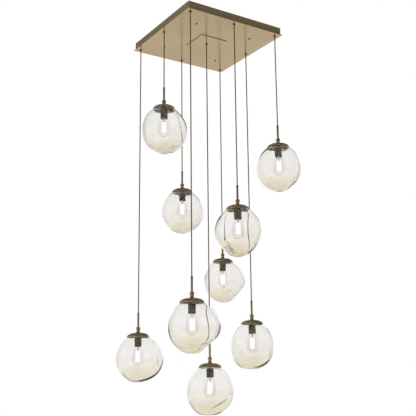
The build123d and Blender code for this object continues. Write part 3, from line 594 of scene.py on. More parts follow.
# %% A tree that repeats a form on a grid
def grid_tree():
    """The node tree, with named inputs for the grid's sizes and the material."""
    tree = bpy.data.node_groups.new("repeat_on_grid", "GeometryNodeTree")
    face = tree.interface
    face.new_socket("Geometry", in_out="INPUT", socket_type="NodeSocketGeometry")
    for label, kind, default in (("Count", "NodeSocketInt", 3), ("Width", FLOAT, 0.48),
                                 ("Middle drop", FLOAT, 0.0), ("Material", "NodeSocketMaterial", None)):
        socket = face.new_socket(label, in_out="INPUT", socket_type=kind)
        if default is not None:
            socket.default_value = default
    face.new_socket("Geometry", in_out="OUTPUT", socket_type="NodeSocketGeometry")
    given = tree.nodes.new("NodeGroupInput").outputs
    grid = add(tree, "GeometryNodeMeshGrid", Size_X=given["Width"], Size_Y=given["Width"],
               Vertices_X=given["Count"], Vertices_Y=given["Count"]).outputs["Mesh"]
    total = add(tree, "ShaderNodeMath", {"operation": "MULTIPLY"}, _0=given["Count"], _1=given["Count"])
    last = add(tree, "ShaderNodeMath", {"operation": "SUBTRACT"}, _0=total.outputs[0], _1=1.0)
    middle = add(tree, "ShaderNodeMath", {"operation": "DIVIDE"}, _0=last.outputs[0], _1=2.0)
    index = tree.nodes.new("GeometryNodeInputIndex").outputs[0]
    is_middle = add(tree, "ShaderNodeMath", {"operation": "COMPARE"}, _0=index, _1=middle.outputs[0],
                    _2=0.1).outputs[0]
    fall = maths(tree, "MULTIPLY", maths(tree, "MULTIPLY", is_middle, given["Middle drop"]), -1.0)
    offset = add(tree, "ShaderNodeCombineXYZ", Z=fall).outputs[0]
    moved = add(tree, "GeometryNodeSetPosition", Geometry=grid, Offset=offset).outputs[0]
    placed = add(tree, "GeometryNodeInstanceOnPoints", Points=moved, Instance=given["Geometry"]).outputs[0]
    real = add(tree, "GeometryNodeRealizeInstances", Geometry=placed).outputs[0]
    painted = add(tree, "GeometryNodeSetMaterial", Geometry=real, Material=given["Material"]).outputs[0]
    link(tree, painted, tree.nodes.new("NodeGroupOutput").inputs[0])
    return tree


REPEAT = grid_tree()
print(REPEAT.name, "has", len(REPEAT.nodes), "nodes")

# %% Bake what the tree makes
def bake(made):
    """Turn an object's modifiers into its own plain mesh."""
    graph = bpy.context.evaluated_depsgraph_get()
    mesh = bpy.data.meshes.new_from_object(made.evaluated_get(graph), preserve_all_data_layers=True,
                                           depsgraph=graph)
    made.modifiers.clear()
    made.data = mesh


def on_grid(name, shape, material, count, width, middle_drop, body):
    """Repeat a form on the grid, bake it and let it ride."""
    made = piece(name, shape, [material], None)
    modifier = made.modifiers.new("grid", "NODES")
    modifier.node_group = REPEAT
    names = {item.name: item.identifier for item in REPEAT.interface.items_tree if item.in_out == "INPUT"}
    modifier[names["Count"]] = count
    modifier[names["Width"]] = width
    modifier[names["Middle drop"]] = middle_drop
    modifier[names["Material"]] = material
    bake(made)
    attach(made, body)
    print(name, len(made.data.polygons), "faces")
    return made

# %% Rings and bridges
def hexagon_ring(shape, across, level, steps):
    """Vertices round a hexagon, as many as the round rings they join."""
    ring = []
    for index in range(steps):
        turn = 2 * math.pi * index / steps
        reach = across / 2 / math.cos((turn + math.pi / 6) % (math.pi / 3) - math.pi / 6)
        ring.append(shape.verts.new((reach * math.cos(turn) * MM, reach * math.sin(turn) * MM, level * MM)))
    return ring


def bridge(shape, first, second):
    """Faces between two rings of as many vertices."""
    count = len(first)
    return [shape.faces.new((first[i], first[(i + 1) % count], second[(i + 1) % count], second[i]))
            for i in range(count)]


def round_ring(shape, radius, level, steps):
    """Vertices round a circle."""
    turns = [2 * math.pi * index / steps for index in range(steps)]
    return [shape.verts.new((radius * math.cos(a) * MM, radius * math.sin(a) * MM, level * MM))
            for a in turns]

# %% Screws with a hexagon socket
SCREW_SPACING = 304.0
SCREW_RADIUS = 2.5
SCREW_LENGTH = 14.0
SOCKET_WIDTH = 3.0
SOCKET_LEVELS = (-2.75, -1.15)
AROUND = 36
screw = bmesh.new()
head = [(4.75, 0.0), (4.75, -0.7), (4.5, -1.5), (3.9, -2.25), (3.1, -2.65), (2.2, -2.75)]
outline = [(SCREW_RADIUS, SCREW_LENGTH), (SCREW_RADIUS, 0.0)] + head
circles = [round_ring(screw, r, PLATE_BOTTOM + z, AROUND) for r, z in outline]
circles += [hexagon_ring(screw, SOCKET_WIDTH, PLATE_BOTTOM + z, AROUND) for z in SOCKET_LEVELS]
for first, second in zip(circles, circles[1:]):
    bridge(screw, first, second)
screw.faces.new(circles[-1])
screw.faces.new(circles[0])
bmesh.ops.recalc_face_normals(screw, faces=screw.faces)
screws = on_grid("face_plate_screws", screw, black_steel, 2, SCREW_SPACING * MM, 0.0, "canopy")
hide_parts("canopy_screws")

# %% Bushings and nuts
FACE_TO_COVER = 3.2  # how much lower the middle bushing hangs, on the cover's face
SHEET_TO_SHEET = 3.0  # how much lower the middle nut sits, on the cover's upper side
BUSHING_BORE = 2.65
SHANK_RADIUS = 4.5
FLANGE_RADIUS = 6.5
FLANGE_HEIGHT = 3.0
SHANK_TOP = 9.0
bushing_profile = [(BUSHING_BORE, SHANK_TOP), (SHANK_RADIUS, SHANK_TOP), (SHANK_RADIUS, 0.1),
                   (FLANGE_RADIUS, 0.0), (FLANGE_RADIUS, 1.0 - FLANGE_HEIGHT), (5.6, -FLANGE_HEIGHT),
                   (4.2, -FLANGE_HEIGHT), (BUSHING_BORE, -0.4)]
bushing = bmesh.new()
spin(bushing, rounded(bushing_profile, 0.5), 0, 0, PLATE_BOTTOM, steps=40)
bushings = on_grid("cord_bushings_turned", bushing, bushing_brass, 3, 2 * PORT_PITCH * MM,
                   FACE_TO_COVER * MM, "canopy")
NUT_FOOT, NUT_TOP = 3.0, 7.0
NUT_WIDTH = 14.0
NUT_BORE = 4.55
nut = bmesh.new()
levels = [(NUT_FOOT, NUT_WIDTH - 1), (NUT_FOOT + 0.4, NUT_WIDTH), (NUT_TOP - 0.4, NUT_WIDTH),
          (NUT_TOP, NUT_WIDTH - 1)]
outer = [hexagon_ring(nut, across, PLATE_BOTTOM + level, AROUND) for level, across in levels]
inner = [round_ring(nut, NUT_BORE, PLATE_BOTTOM + level, AROUND) for level in (NUT_TOP, NUT_FOOT)]
loops = outer + inner
for first, second in zip(loops, loops[1:] + loops[:1]):
    bridge(nut, first, second)
bmesh.ops.recalc_face_normals(nut, faces=nut.faces)
nuts = on_grid("bushing_nuts", nut, bushing_brass, 3, 2 * PORT_PITCH * MM, SHEET_TO_SHEET * MM, "canopy")
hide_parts("cord_bushings")
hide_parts("cord_bushings")

# %% [markdown]
# ## The cords
# Each cord hangs straight under the weight of its light, from inside its bushing's mouth to its end in the
# ferrule. A simulated rope would hang just as straight, so it is a NURBS curve of three points with a round
# bevel, and its length is what the photograph shows from end to end.

# %% Hang the cords
CORD_DIAMETER = 5.2
ROD_TOP = 91.0
CORD_INSERTION = 10.0
PIVOT_DEPTH = 1.0  # how far up inside its bushing's mouth a cord bends
CENTRE_LIGHT = 5
for one in LIGHTS:
    number = one["number"]
    top = PLATE_BOTTOM - FLANGE_HEIGHT + PIVOT_DEPTH - (FACE_TO_COVER if number == CENTRE_LIGHT else 0.0)
    bottom = one["cap"] + ROD_TOP - CORD_INSERTION
    curve = bpy.data.curves.new(f"hanging_cord_{number}", "CURVE")
    curve.dimensions = "3D"
    line = curve.splines.new("NURBS")
    line.points.add(2)
    for index, height in enumerate((top, (top + bottom) / 2, bottom)):
        line.points[index].co = (one["x"] * MM, one["y"] * MM, height * MM, 1.0)
    line.order_u = 3
    line.use_endpoint_u = True
    curve.bevel_depth = CORD_DIAMETER / 2 * MM
    curve.bevel_resolution = 5
    curve.use_fill_caps = True
    curve.materials.append(cord_sleeve)
    hanging = bpy.data.objects.new(f"hanging_cord_{number}", curve)
    bpy.context.collection.objects.link(hanging)
    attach(hanging, f"hang_{number}")
    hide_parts(f"cord_{number}")
    print("cord", number, "hangs", round(top - bottom, 1), "mm")

# %% [markdown]
# ## Rods and couplers
# The rod is a thin tube with a drawn ferrule on its top, where the cord goes in. It stands in a turned
# coupler: a bead, a waist and a flared foot on the dome. A hollow nipple runs down into the lampholder.
# Each is a closed profile with its bore, so that the pieces fit into one another as the real ones do.

# %% The stems' profiles
ROD_RADIUS = 4.7
ROD_BORE = 2.7
ROD_FIT = 4.8  # the bore that takes the rod, in the ferrule and in the coupler
ROD_END = 88.0
FERRULE_RADIUS = 5.5
FERRULE_FOOT = 82.0
COUPLER_TOP = 25.0
COUPLER_FLOOR = 11.0
BEAD_RADIUS = 9.75
WAIST_RADIUS = 7.8
FOOT_RADIUS = 10.75
NIPPLE_RADIUS = 5.0
NIPPLE_BORE = 3.25
NIPPLE_FIT = 5.1
NIPPLE_TOP, NIPPLE_FOOT = 9.0, -26.0
ferrule_profile = [(FERRULE_RADIUS, FERRULE_FOOT), (FERRULE_RADIUS, 87.2), (ROD_FIT, 89.4), (3.7, ROD_TOP),
                   (ROD_BORE, ROD_TOP), (ROD_BORE, ROD_END + 0.1), (ROD_FIT, ROD_END + 0.1),
                   (ROD_FIT, FERRULE_FOOT)]
coupler_profile = [(WAIST_RADIUS, 4.6), (WAIST_RADIUS, 14.2), (8.4, 15.0), (BEAD_RADIUS, 16.2),
                   (BEAD_RADIUS, 23.2), (9.0, 24.5), (WAIST_RADIUS, COUPLER_TOP), (ROD_FIT, COUPLER_TOP),
                   (ROD_FIT, COUPLER_FLOOR), (ROD_BORE, COUPLER_FLOOR), (ROD_BORE, NIPPLE_TOP),
                   (NIPPLE_FIT, NIPPLE_TOP), (NIPPLE_FIT, 0.0), (FOOT_RADIUS, 0.0), (10.3, 1.2), (8.9, 3.2)]
print("the rods are", 2 * ROD_RADIUS, "mm thick, the couplers", 2 * BEAD_RADIUS, "mm at the bead")

# %% Turn the stems
for one in LIGHTS:
    number = one["number"]
    here = (one["x"], one["y"], one["cap"])
    stem = bmesh.new()
    spin(stem, tube_profile(ROD_RADIUS, ROD_BORE, COUPLER_FLOOR + 0.1, ROD_END), *here, slot=0, steps=32)
    spin(stem, rounded(ferrule_profile, 0.5), *here, slot=0, steps=40)
    spin(stem, rounded(coupler_profile, 0.9), *here, slot=1, steps=56)
    spin(stem, tube_profile(NIPPLE_RADIUS, NIPPLE_BORE, NIPPLE_FOOT, NIPPLE_TOP), *here, slot=2, steps=40)
    made = piece(f"rod_and_coupler_{number}", stem, [rod_brass, coupler_brass, dome_brass], f"light_{number}")
    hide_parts(f"stem_{number}")
print("stems turned")

# %% [markdown]
# ## The shape of a globe
# A globe starts as an egg that leans a little. Its presses push it in or let it bulge, and its creases fold
# it in along short lines. Its mouth fits inside the dome above it, and the bar that holds the glass up is
# as long as the glass is wide there.

# %% The egg
CAP_RADIUS = 52.0
CAP_FLAT = 11.0
CAP_HEIGHT = 20.0
CAP_SHEET = 1.4
CAP_SEAT = -20.5
WALL = 3.2
SHOULDER_MARGIN = 3.0  # how far past the dome's rim the globe is still round
PONTIL_RADIUS = 14.0
PRESS_FADE = math.radians(24.0)
BAR_LEVEL = -23.0
BAR_END_GAP = 0.8
CREASE_DEPTH = 1.5  # the creases are this much deeper than their entries in the table


def widest(one, angle, up=1):
    """The egg's radius at a polar angle."""
    return one["width"] / 2 * math.sin(angle) * (1 - up * one["egg"] * math.cos(angle))


def angle_at(one, radius, up=1):
    """The polar angle, from the nearer pole, at which the egg is this wide."""
    low, high = 0.0, math.pi / 2
    for _ in range(40):
        middle = (low + high) / 2
        if widest(one, middle, up) < radius:
            low = middle
        else:
            high = middle
    return low

# %% Ripples and creases
def smooth(value):
    """A soft step from 0 to 1."""
    value = np.clip(value, 0.0, 1.0)
    return value * value * (3 - 2 * value)


def direction(azimuth, elevation):
    """A unit vector from degrees."""
    azimuth, elevation = math.radians(azimuth), math.radians(elevation)
    return np.array((math.cos(elevation) * math.cos(azimuth), math.cos(elevation) * math.sin(azimuth),
                     math.sin(elevation)))


def waves(seed, azimuth, polar):
    """Slow ripples round a globe, between about -1 and 1."""
    chance = np.random.default_rng(seed)
    total = np.zeros_like(azimuth)
    for across, down in ((1, 2.0), (2, 3.0), (3, 2.5), (2, 5.0), (4, 4.0)):
        phase_a, phase_b = chance.uniform(0, 2 * math.pi, 2)
        total += np.sin(across * azimuth + phase_a) * np.sin(down * polar + phase_b) / 2.2
    return total


def from_crease(aim, crease):
    """Degrees between directions and a crease's line, and the share of the way along it."""
    start, end = direction(*crease[0:2]), direction(*crease[2:4])
    run = end - start
    share = np.clip(((aim - start) @ run) / (run @ run), 0, 1)
    nearest = start + share[..., None] * run
    nearest = nearest / np.linalg.norm(nearest, axis=-1)[..., None]
    return np.degrees(np.linalg.norm(aim - nearest, axis=-1)), share

# %% The skin of a globe
def skin(one, polar, azimuth, inset, ripple, seed):
    """Points of a globe at polar angles and azimuths, an inset inside its outer face, as X, Y, Z in mm."""
    a, egg = one["width"] / 2, one["egg"]
    seat_angle = angle_at(one, CAP_RADIUS - CAP_SHEET)
    shoulder = angle_at(one, CAP_RADIUS + SHOULDER_MARGIN)
    pontil = math.pi - angle_at(one, PONTIL_RADIUS, -1)
    half_height = (one["height"] + CAP_SEAT) / (1 + math.cos(seat_angle))
    fade = smooth(np.minimum(polar - shoulder, pontil - polar) / PRESS_FADE)
    across = a * np.sin(polar) * (1 - egg * np.cos(polar))
    along = half_height * np.cos(polar)
    reach = np.hypot(across, along)
    aim = np.stack((across * np.cos(azimuth), across * np.sin(azimuth), along), -1) / reach[..., None]
    change = -inset + ripple * fade * waves(seed, azimuth, polar)
    for turn, lift, spread, depth in one["presses"]:
        away = np.degrees(np.arccos(np.clip(aim @ direction(turn, lift), -1, 1)))
        change = change - depth * fade * np.exp(-(away / spread) ** 2)
    for crease in one["creases"]:
        wide, depth = crease[4:]
        away, share = from_crease(aim, crease)
        change = change - CREASE_DEPTH * depth * fade * np.exp(-(away / wide) ** 2) * (
            0.35 + 0.65 * np.sin(math.pi * share))
    scale = 1 + change / reach
    lean = one["lean"] * np.sin(polar) * fade
    lean_azimuth = math.radians(one["lean_azimuth"])
    x = across * scale * np.cos(azimuth) + lean * math.cos(lean_azimuth)
    y = across * scale * np.sin(azimuth) + lean * math.sin(lean_azimuth)
    return np.stack((x, y, half_height - one["height"] + along * scale), -1)


def bar_length(one):
    """Half the length of the bar in a globe's mouth: the glass's inner radius there, less a clearance."""
    polar = np.linspace(angle_at(one, 40.0), angle_at(one, 70.0), 400)
    inside = skin(one, polar, np.zeros_like(polar), WALL, 0.0, 0)
    return float(np.interp(-BAR_LEVEL, -inside[:, 2], np.hypot(inside[:, 0], inside[:, 1]))) - BAR_END_GAP

# %% [markdown]
# ## Domes and their bars
# A shallow spun dome covers each globe's mouth. Its edge is a quarter ellipse with a tiny rolled rim, which
# one formula draws for both of its faces. Inside the mouth a flat bar with round ends holds the glass up
# against the dome. The bar isn't round, so it is built from four rings of one outline.

# %% The dome's profile
def dome_arc(inset, steps=18):
    """Points down the dome's quarter ellipse, from its crown to its rim."""
    reach, fall = CAP_RADIUS - CAP_FLAT - inset, CAP_HEIGHT - inset
    turns = [math.pi / 2 * (1 - step / steps) for step in range(steps + 1)]
    return [(CAP_FLAT + reach * math.cos(a), -CAP_HEIGHT + fall * math.sin(a)) for a in turns]


BAR_HALF_WIDTH = 8.0
BAR_THICKNESS = 1.8
rolled_rim = [(CAP_RADIUS, -19.4), (51.7, -19.9), (51.3, -CAP_HEIGHT), (50.9, -19.9),
              (CAP_RADIUS - CAP_SHEET, -19.4)]
dome_profile = ([(NIPPLE_FIT, 0.0)] + dome_arc(0.0)[:-1] + rolled_rim
                + list(reversed(dome_arc(CAP_SHEET)[:-1])) + [(NIPPLE_FIT, -CAP_SHEET)])
print("the dome's profile has", len(dome_profile), "points")

# %% Spin the domes and cut the bars
for one in LIGHTS:
    number = one["number"]
    shape = bmesh.new()
    spin(shape, dome_profile, one["x"], one["y"], one["cap"], steps=96)
    # Downward faces under the dome's crown get the darker copy, which is painted shade.
    for face in shape.faces:
        if face.normal.z < -0.02 and face.calc_center_median().z > (one["cap"] - 19.3) * MM:
            face.material_index = 1
    dome = piece(f"spun_dome_{number}", shape, [dome_brass, dome_painted_shade], f"light_{number}", sharp=50.0)
    half = bar_length(one)
    ends = [math.asin(BAR_HALF_WIDTH / half) * (step / 4 - 1) for step in range(9)]
    rim = [(half * math.cos(a), half * math.sin(a)) for a in ends]
    rim += [(-x, -y) for x, y in rim]
    shape = bmesh.new()
    loops = []
    for depth, shrink in ((0.0, 0.5), (0.3, 0.0), (BAR_THICKNESS - 0.3, 0.0), (BAR_THICKNESS, 0.5)):
        loops.append([shape.verts.new(((one["x"] + x * (1 - shrink / 46)) * MM,
                                       (one["y"] + y * (1 - shrink / BAR_HALF_WIDTH)) * MM,
                                       (one["cap"] + BAR_LEVEL - depth) * MM)) for x, y in rim])
    for first, second in zip(loops, loops[1:]):
        bridge(shape, first, second)
    shape.faces.new(loops[0])
    shape.faces.new(loops[-1])
    bmesh.ops.recalc_face_normals(shape, faces=shape.faces)
    bar = piece(f"shade_bar_{number}", shape, [dome_brass], f"light_{number}", sharp=30.0)
    for made in (dome, bar):
        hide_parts(f"cap_{number}")
print("domes spun, the last bar", round(2 * half, 1), "mm long")

# %% [markdown]
# ## Blown globes
# The formula is used twice for each globe: for the outer skin, and for an inner one at the wall's
# thickness, which grows towards the bottom. Slow waves, different on each skin, make the wall bend what is
# seen through it, as hand-blown glass does. The mouth is fire-polished round, and the bottom has the ground
# pontil mark.

# %% Painted shade along the creases
ROUND = 180
DOWN = 130
MOUTH_RADIUS = 46.0
THICKEST = {4: 1.0, 5: 1.0, 7: 0.9}  # the darkest globes' share of the tint at the bottom
USUAL_SHARE = 0.8
# The painted shade along a crease is this wide, in degrees.
CREASE_SHADE_WIDTH = 2.0
DEEPEST_CREASE = 3.4


def crease_shade_mask(one, polar, azimuth):
    """How strongly each point takes painted shade: a thin dark line along the deep creases."""
    across, along = np.sin(polar) * (1 - one["egg"] * np.cos(polar)), np.cos(polar)
    aim = np.stack((across * np.cos(azimuth), across * np.sin(azimuth), along), -1)
    aim = aim / np.linalg.norm(aim, axis=-1)[..., None]
    mask = np.zeros_like(polar)
    for crease in one["creases"]:
        away, share = from_crease(aim, crease)
        taper = np.clip(4 * share * (1 - share) * 2.5, 0, 1) * min(1.0, crease[5] / DEEPEST_CREASE)
        mask = np.maximum(mask, taper * np.exp(-(away / CREASE_SHADE_WIDTH) ** 2))
    return mask

# %% One globe's wall
def blow(one):
    """One globe's closed wall as vertices, faces, its tint share and its painted shade along the creases."""
    mouth = angle_at(one, MOUTH_RADIUS)
    pontil = math.pi - angle_at(one, PONTIL_RADIUS, -1)
    polar, azimuth = np.meshgrid(np.linspace(mouth, pontil, DOWN),
                                 np.arange(ROUND) * 2 * math.pi / ROUND, indexing="ij")
    depth = smooth((polar - math.radians(70)) / math.radians(95))
    wall = WALL - 0.4 + 2.6 * depth ** 2
    crease_shades = crease_shade_mask(one, polar, azimuth)
    outer = skin(one, polar, azimuth, 0.0, 0.35, one["number"])
    inner = skin(one, polar, azimuth, wall, 0.75, 40 + one["number"])
    lip = []
    for step in range(1, 4):
        turn = math.pi * step / 4
        middle = (outer[0] + inner[0]) / 2
        half = (outer[0] - inner[0]) / 2
        rise = np.linalg.norm(half, axis=-1) * math.sin(turn)
        ring = middle + half * math.cos(turn)
        ring[:, 2] += rise
        lip.append(ring)
    loops = list(outer[::-1]) + lip + list(inner)
    share_of_tint = THICKEST.get(one["number"], USUAL_SHARE)
    gather = [share_of_tint * row for row in list(depth[::-1]) + [depth[0]] * 3 + list(depth)]
    flat = np.zeros(ROUND)
    # The painted crease shade, on the outer skin only.
    crease_shade = [flat] * 4 + list(crease_shades[::-1]) + [flat] * 3 + list(0 * crease_shades) + [flat] * 4
    for base, sign, target in ((outer[-1], -1, "start"), (inner[-1], 1, "end")):
        hub = base.mean(axis=0)
        closing = []
        for share, lift in ((0.82, 0.0), (0.7, 0.5), (0.45, 0.9), (0.2, 1.0)):
            ring = hub + (base - hub) * share
            ring[:, 2] += lift * (0.9 if sign < 0 else 0.2)
            closing.append(ring)
        if target == "start":
            loops = closing[::-1] + loops
            gather = [np.full(ROUND, share_of_tint)] * 4 + gather
        else:
            loops = loops + closing
            gather = gather + [np.full(ROUND, share_of_tint)] * 4
    vertices = np.concatenate(loops)
    poles = np.array([loops[0].mean(axis=0), loops[-1].mean(axis=0)])
    vertices = np.concatenate([vertices, poles])
    values = np.concatenate(gather + [np.full(2, share_of_tint)])
    faces = []
    for row in range(len(loops) - 1):
        for step in range(ROUND):
            nxt = (step + 1) % ROUND
            faces.append((row * ROUND + step, (row + 1) * ROUND + step, (row + 1) * ROUND + nxt,
                          row * ROUND + nxt))
    first_pole, last_pole = len(loops) * ROUND, len(loops) * ROUND + 1
    last = (len(loops) - 1) * ROUND
    for step in range(ROUND):
        nxt = (step + 1) % ROUND
        faces.append((first_pole, step, nxt))
        faces.append((last_pole, last + nxt, last + step))
    return vertices, faces, values, np.concatenate(crease_shade + [np.zeros(2)])

# %% Blow the globes
for one in LIGHTS:
    number = one["number"]
    vertices, faces, values, crease_shading = blow(one)
    vertices = (vertices + np.array((one["x"], one["y"], one["cap"]))) * MM
    mesh = bpy.data.meshes.new(f"blown_globe_{number}")
    mesh.from_pydata(vertices.tolist(), [], faces)
    # The second attribute carries the painted shade along the creases.
    for label, carried in (("gather", values), ("crease_shade", crease_shading)):
        attribute = mesh.attributes.new(label, "FLOAT", "POINT")
        attribute.data.foreach_set("value", carried.astype(np.float32))
    mesh.materials.append(blown_glass)
    mesh.shade_smooth()
    shape = bmesh.new()
    shape.from_mesh(mesh)
    volume = shape.calc_volume(signed=True)
    if volume < 0:
        bmesh.ops.reverse_faces(shape, faces=shape.faces)
        shape.to_mesh(mesh)
    shape.free()
    globe = bpy.data.objects.new(f"blown_globe_{number}", mesh)
    bpy.context.collection.objects.link(globe)
    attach(globe, f"light_{number}")
    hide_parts(f"shade_{number}")
    print("globe", number, "glass", round(abs(volume) * 1e6, 1), "cm3")

# %% [markdown]
# ## Lampholders
# A brass cup hangs from the nipple, and the dark insulating core shows as a lip below it. The core is bored
# for the lamp's base. Both are turned, so they come off the same lathe as the stems.

# %% Turn the lampholders
HOLDER_RADIUS = 16.5
HOLDER_TOP = -24.8
CUP_FOOT = -56.5
LIP_FOOT = -63.5
CORE_RADIUS, CORE_TOP = 15.0, -29.0
LAMP_WELL_RADIUS, LAMP_WELL_TOP = 13.3, -33.5
cup_profile = [(NIPPLE_FIT, HOLDER_TOP), (13.6, HOLDER_TOP), (15.6, -25.6), (HOLDER_RADIUS, -27.8),
               (HOLDER_RADIUS, -54.6), (16.9, -55.2), (16.9, -56.2), (HOLDER_RADIUS, CUP_FOOT),
               (15.3, CUP_FOOT), (15.3, -28.0), (13.4, -26.2), (NIPPLE_FIT, -26.0)]
core_profile = [(0.0, CORE_TOP), (CORE_RADIUS, CORE_TOP), (CORE_RADIUS, CUP_FOOT), (HOLDER_RADIUS, -56.6),
                (HOLDER_RADIUS, -62.6), (15.6, LIP_FOOT), (LAMP_WELL_RADIUS, LIP_FOOT),
                (LAMP_WELL_RADIUS, LAMP_WELL_TOP), (0.0, LAMP_WELL_TOP)]
for one in LIGHTS:
    number = one["number"]
    here = (one["x"], one["y"], one["cap"])
    shape = bmesh.new()
    spin(shape, rounded(cup_profile, 0.4), *here, slot=0, steps=64)
    spin(shape, rounded(core_profile, 0.5), *here, slot=1, steps=64)
    holder = piece(f"lampholder_{number}", shape, [holder_brass, dark_lip], f"light_{number}")
    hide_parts(f"socket_{number}")
print("lampholders turned")

# %% [markdown]
# ## Lamps
# Each lamp is a clear bulb that swells to a rounded lower end, with four lit filaments between two spiders
# and a glass mount in the middle. Its outline is a smooth line through a few measured points. The bulb's
# wall is real and thin, so it draws a fine grey outline.

# %% The bulb's profile
bulb_outline = [(12.5, -60.5), (19.5, -71.5), (23.25, -89.5), (26.5, -113.5), (26.8, -125.5), (23.0, -139.5),
                (13.5, -150.5), (0.0, -155.5)]


def flowing(points, first, last, steps=7):
    """A smooth line through points, with its end directions given."""
    points = [Vector(p) for p in points]
    slopes = [Vector(first) * (points[1] - points[0]).length]
    for before, after in zip(points, points[2:]):
        slopes.append((after - before) / 2)
    slopes.append(Vector(last) * (points[-1] - points[-2]).length)
    result = []
    for index in range(len(points) - 1):
        a, b, u, v = points[index], points[index + 1], slopes[index], slopes[index + 1]
        for step in range(steps):
            t = step / steps
            result.append(a * (2 * t**3 - 3 * t**2 + 1) + u * (t**3 - 2 * t**2 + t)
                          + b * (3 * t**2 - 2 * t**3) + v * (t**3 - t**2))
    return result + [points[-1]]


BULB_WALL = 0.9
BULB_TURNS_IN = -135.0  # below this the wall's thickness is taken upwards too
outside = [tuple(p) for p in flowing(bulb_outline, (0.25, -1), (-1, 0))]
inside = [(max(r - BULB_WALL, 0.0),
           z + (BULB_WALL if z < BULB_TURNS_IN else 0.0) * min(1.0, (BULB_TURNS_IN - z) / 12))
          for r, z in outside]
inside[-1] = (0.0, outside[-1][1] + BULB_WALL)
bulb_profile = outside + list(reversed(inside))
print("the bulb is", round(2 * max(r for r, z in outside), 1), "mm across")

# %% The base, the mount and the filaments
base_profile = [(0.0, -33.7), (4.2, -33.7), (4.5, -35.5), (9.0, -36.4), (12.2, -38.0)]
THREADS = 6
THREAD_PITCH = 3.2
THREAD_TOP = -39.5
for turn in range(THREADS):
    level = THREAD_TOP - turn * THREAD_PITCH
    base_profile += [(12.0, level), (13.0, level - 1.2), (13.0, level - 1.9)]
base_profile += [(12.4, -59.4), (12.4, -60.4), (0.0, -60.4)]
mount_profile = [(0.0, -60.6), (5.6, -60.6), (4.4, -63.5), (3.4, -67.0), (3.2, -99.0), (2.2, -101.0),
                 (0.0, -101.5)]
stem_profile = [(0.0, -100.0), (1.5, -100.0), (1.5, -124.0), (0.0, -124.4)]
FILAMENTS = 4
FILAMENT_RADIUS = 1.1
RING = 7.5
TOP_SPIDER, LOW_SPIDER = -82.0, -132.0
filament_profile = [(0.0, TOP_SPIDER), (FILAMENT_RADIUS, TOP_SPIDER), (FILAMENT_RADIUS, LOW_SPIDER),
                    (0.0, LOW_SPIDER)]
print(FILAMENTS, "filaments,", TOP_SPIDER - LOW_SPIDER, "mm long")

# %% Blow and light the lamps
for one in LIGHTS:
    number = one["number"]
    x, y, level = one["x"], one["y"], one["cap"]
    shape = bmesh.new()
    spin(shape, bulb_profile, x, y, level, steps=72)
    bulb = piece(f"lamp_bulb_{number}", shape, [lamp_glass], f"light_{number}", sharp=60.0)
    shape = bmesh.new()
    spin(shape, rounded(base_profile, 0.3), x, y, level, slot=0, steps=48)
    spin(shape, rounded(mount_profile, 0.5), x, y, level, slot=1, steps=28)
    spin(shape, rounded(stem_profile, 0.3), x, y, level, slot=1, steps=20)
    for spider in (TOP_SPIDER, LOW_SPIDER):
        spin(shape, rounded([(RING - 0.5, spider - 0.9), (RING + 1.0, spider - 0.9), (RING + 1.0, spider),
                             (RING - 0.5, spider)], 0.3), x, y, level, slot=0, steps=40)
    fittings = piece(f"lamp_fittings_{number}", shape, [lamp_cap, mount_painted_glow], f"light_{number}")
    shape = bmesh.new()
    for index in range(FILAMENTS):
        turn = 2 * math.pi * (index + 0.5) / FILAMENTS
        at = (x + RING * math.cos(turn), y + RING * math.sin(turn))
        spin(shape, rounded(filament_profile, 0.4), *at, level, steps=14)
    glow = piece(f"lamp_filaments_{number}", shape, [filament_glow], f"light_{number}")
    for made in (bulb, fittings, glow):
        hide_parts(f"lamp_{number}")
print("lamps lit")

# %% [markdown]
# ## Stage and light
# The room is a plain pale floor and a white surround. The world is white to the camera and in glass and
# metal, and a quieter grey for the light it gives. Grey cards, or flags, stand where only reflections see
# them: photographers of glass use them to draw its outline. The lamps are hidden from reflections, because
# a row of bright squares in every globe would hide its shape.

# %% Floor
def sheet_of_stage(name, corners, colour):
    """A flat stage piece with a plain material."""
    mesh = bpy.data.meshes.new(name)
    mesh.from_pydata(corners, [], [(0, 1, 2, 3)])
    material, tree, shader = new_material(name)
    shader.inputs["Base Color"].default_value = colour
    shader.inputs["Roughness"].default_value = 0.9
    mesh.materials.append(material)
    made = bpy.data.objects.new(name, mesh)
    bpy.context.collection.objects.link(made)
    return made


def square(half, level):
    """The corners of a level square."""
    return [(-half, -half, level), (half, -half, level), (half, half, level), (-half, half, level)]


FLOOR = cad_low[2] - 0.6
ROOM = 4.0  # half the room's width
ABOVE = 1.3
floor = sheet_of_stage("floor", square(ROOM, FLOOR), (0.86, 0.86, 0.86, 1))
floor_tree = floor.data.materials[0].node_tree
paths = floor_tree.nodes.new("ShaderNodeLightPath").outputs
seen = maths(floor_tree, "MAXIMUM", paths["Is Camera Ray"],
             maths(floor_tree, "MAXIMUM", paths["Is Glossy Ray"], paths["Is Transmission Ray"]))
floor_shader = next(n for n in floor_tree.nodes if n.type == "BSDF_PRINCIPLED")
floor_shader.inputs["Emission Color"].default_value = (1, 1, 1, 1)
link(floor_tree, maths(floor_tree, "MULTIPLY", seen, 0.62), floor_shader.inputs["Emission Strength"])

# %% Flags
def hide_but_in_reflections(card):
    """A card that only reflections see."""
    card.visible_camera = False
    card.visible_diffuse = False
    card.visible_transmission = False
    card.visible_shadow = False


def flag(name, distance_right, ahead, wide, low, high, turn, grey=0.05):
    """An upright card, placed from the canopy's middle in the camera's level directions."""
    along = Vector((math.sin(CAMERA_YAW), math.cos(CAMERA_YAW), 0))
    middle = level_right * distance_right + along * ahead
    angle = math.radians(turn)
    across = level_right * math.cos(angle) + along * math.sin(angle)
    a, b = middle - across * wide / 2, middle + across * wide / 2
    made = sheet_of_stage(name, [(a.x, a.y, low), (b.x, b.y, low), (b.x, b.y, high), (a.x, a.y, high)],
                          (grey, grey, grey, 1))
    hide_but_in_reflections(made)


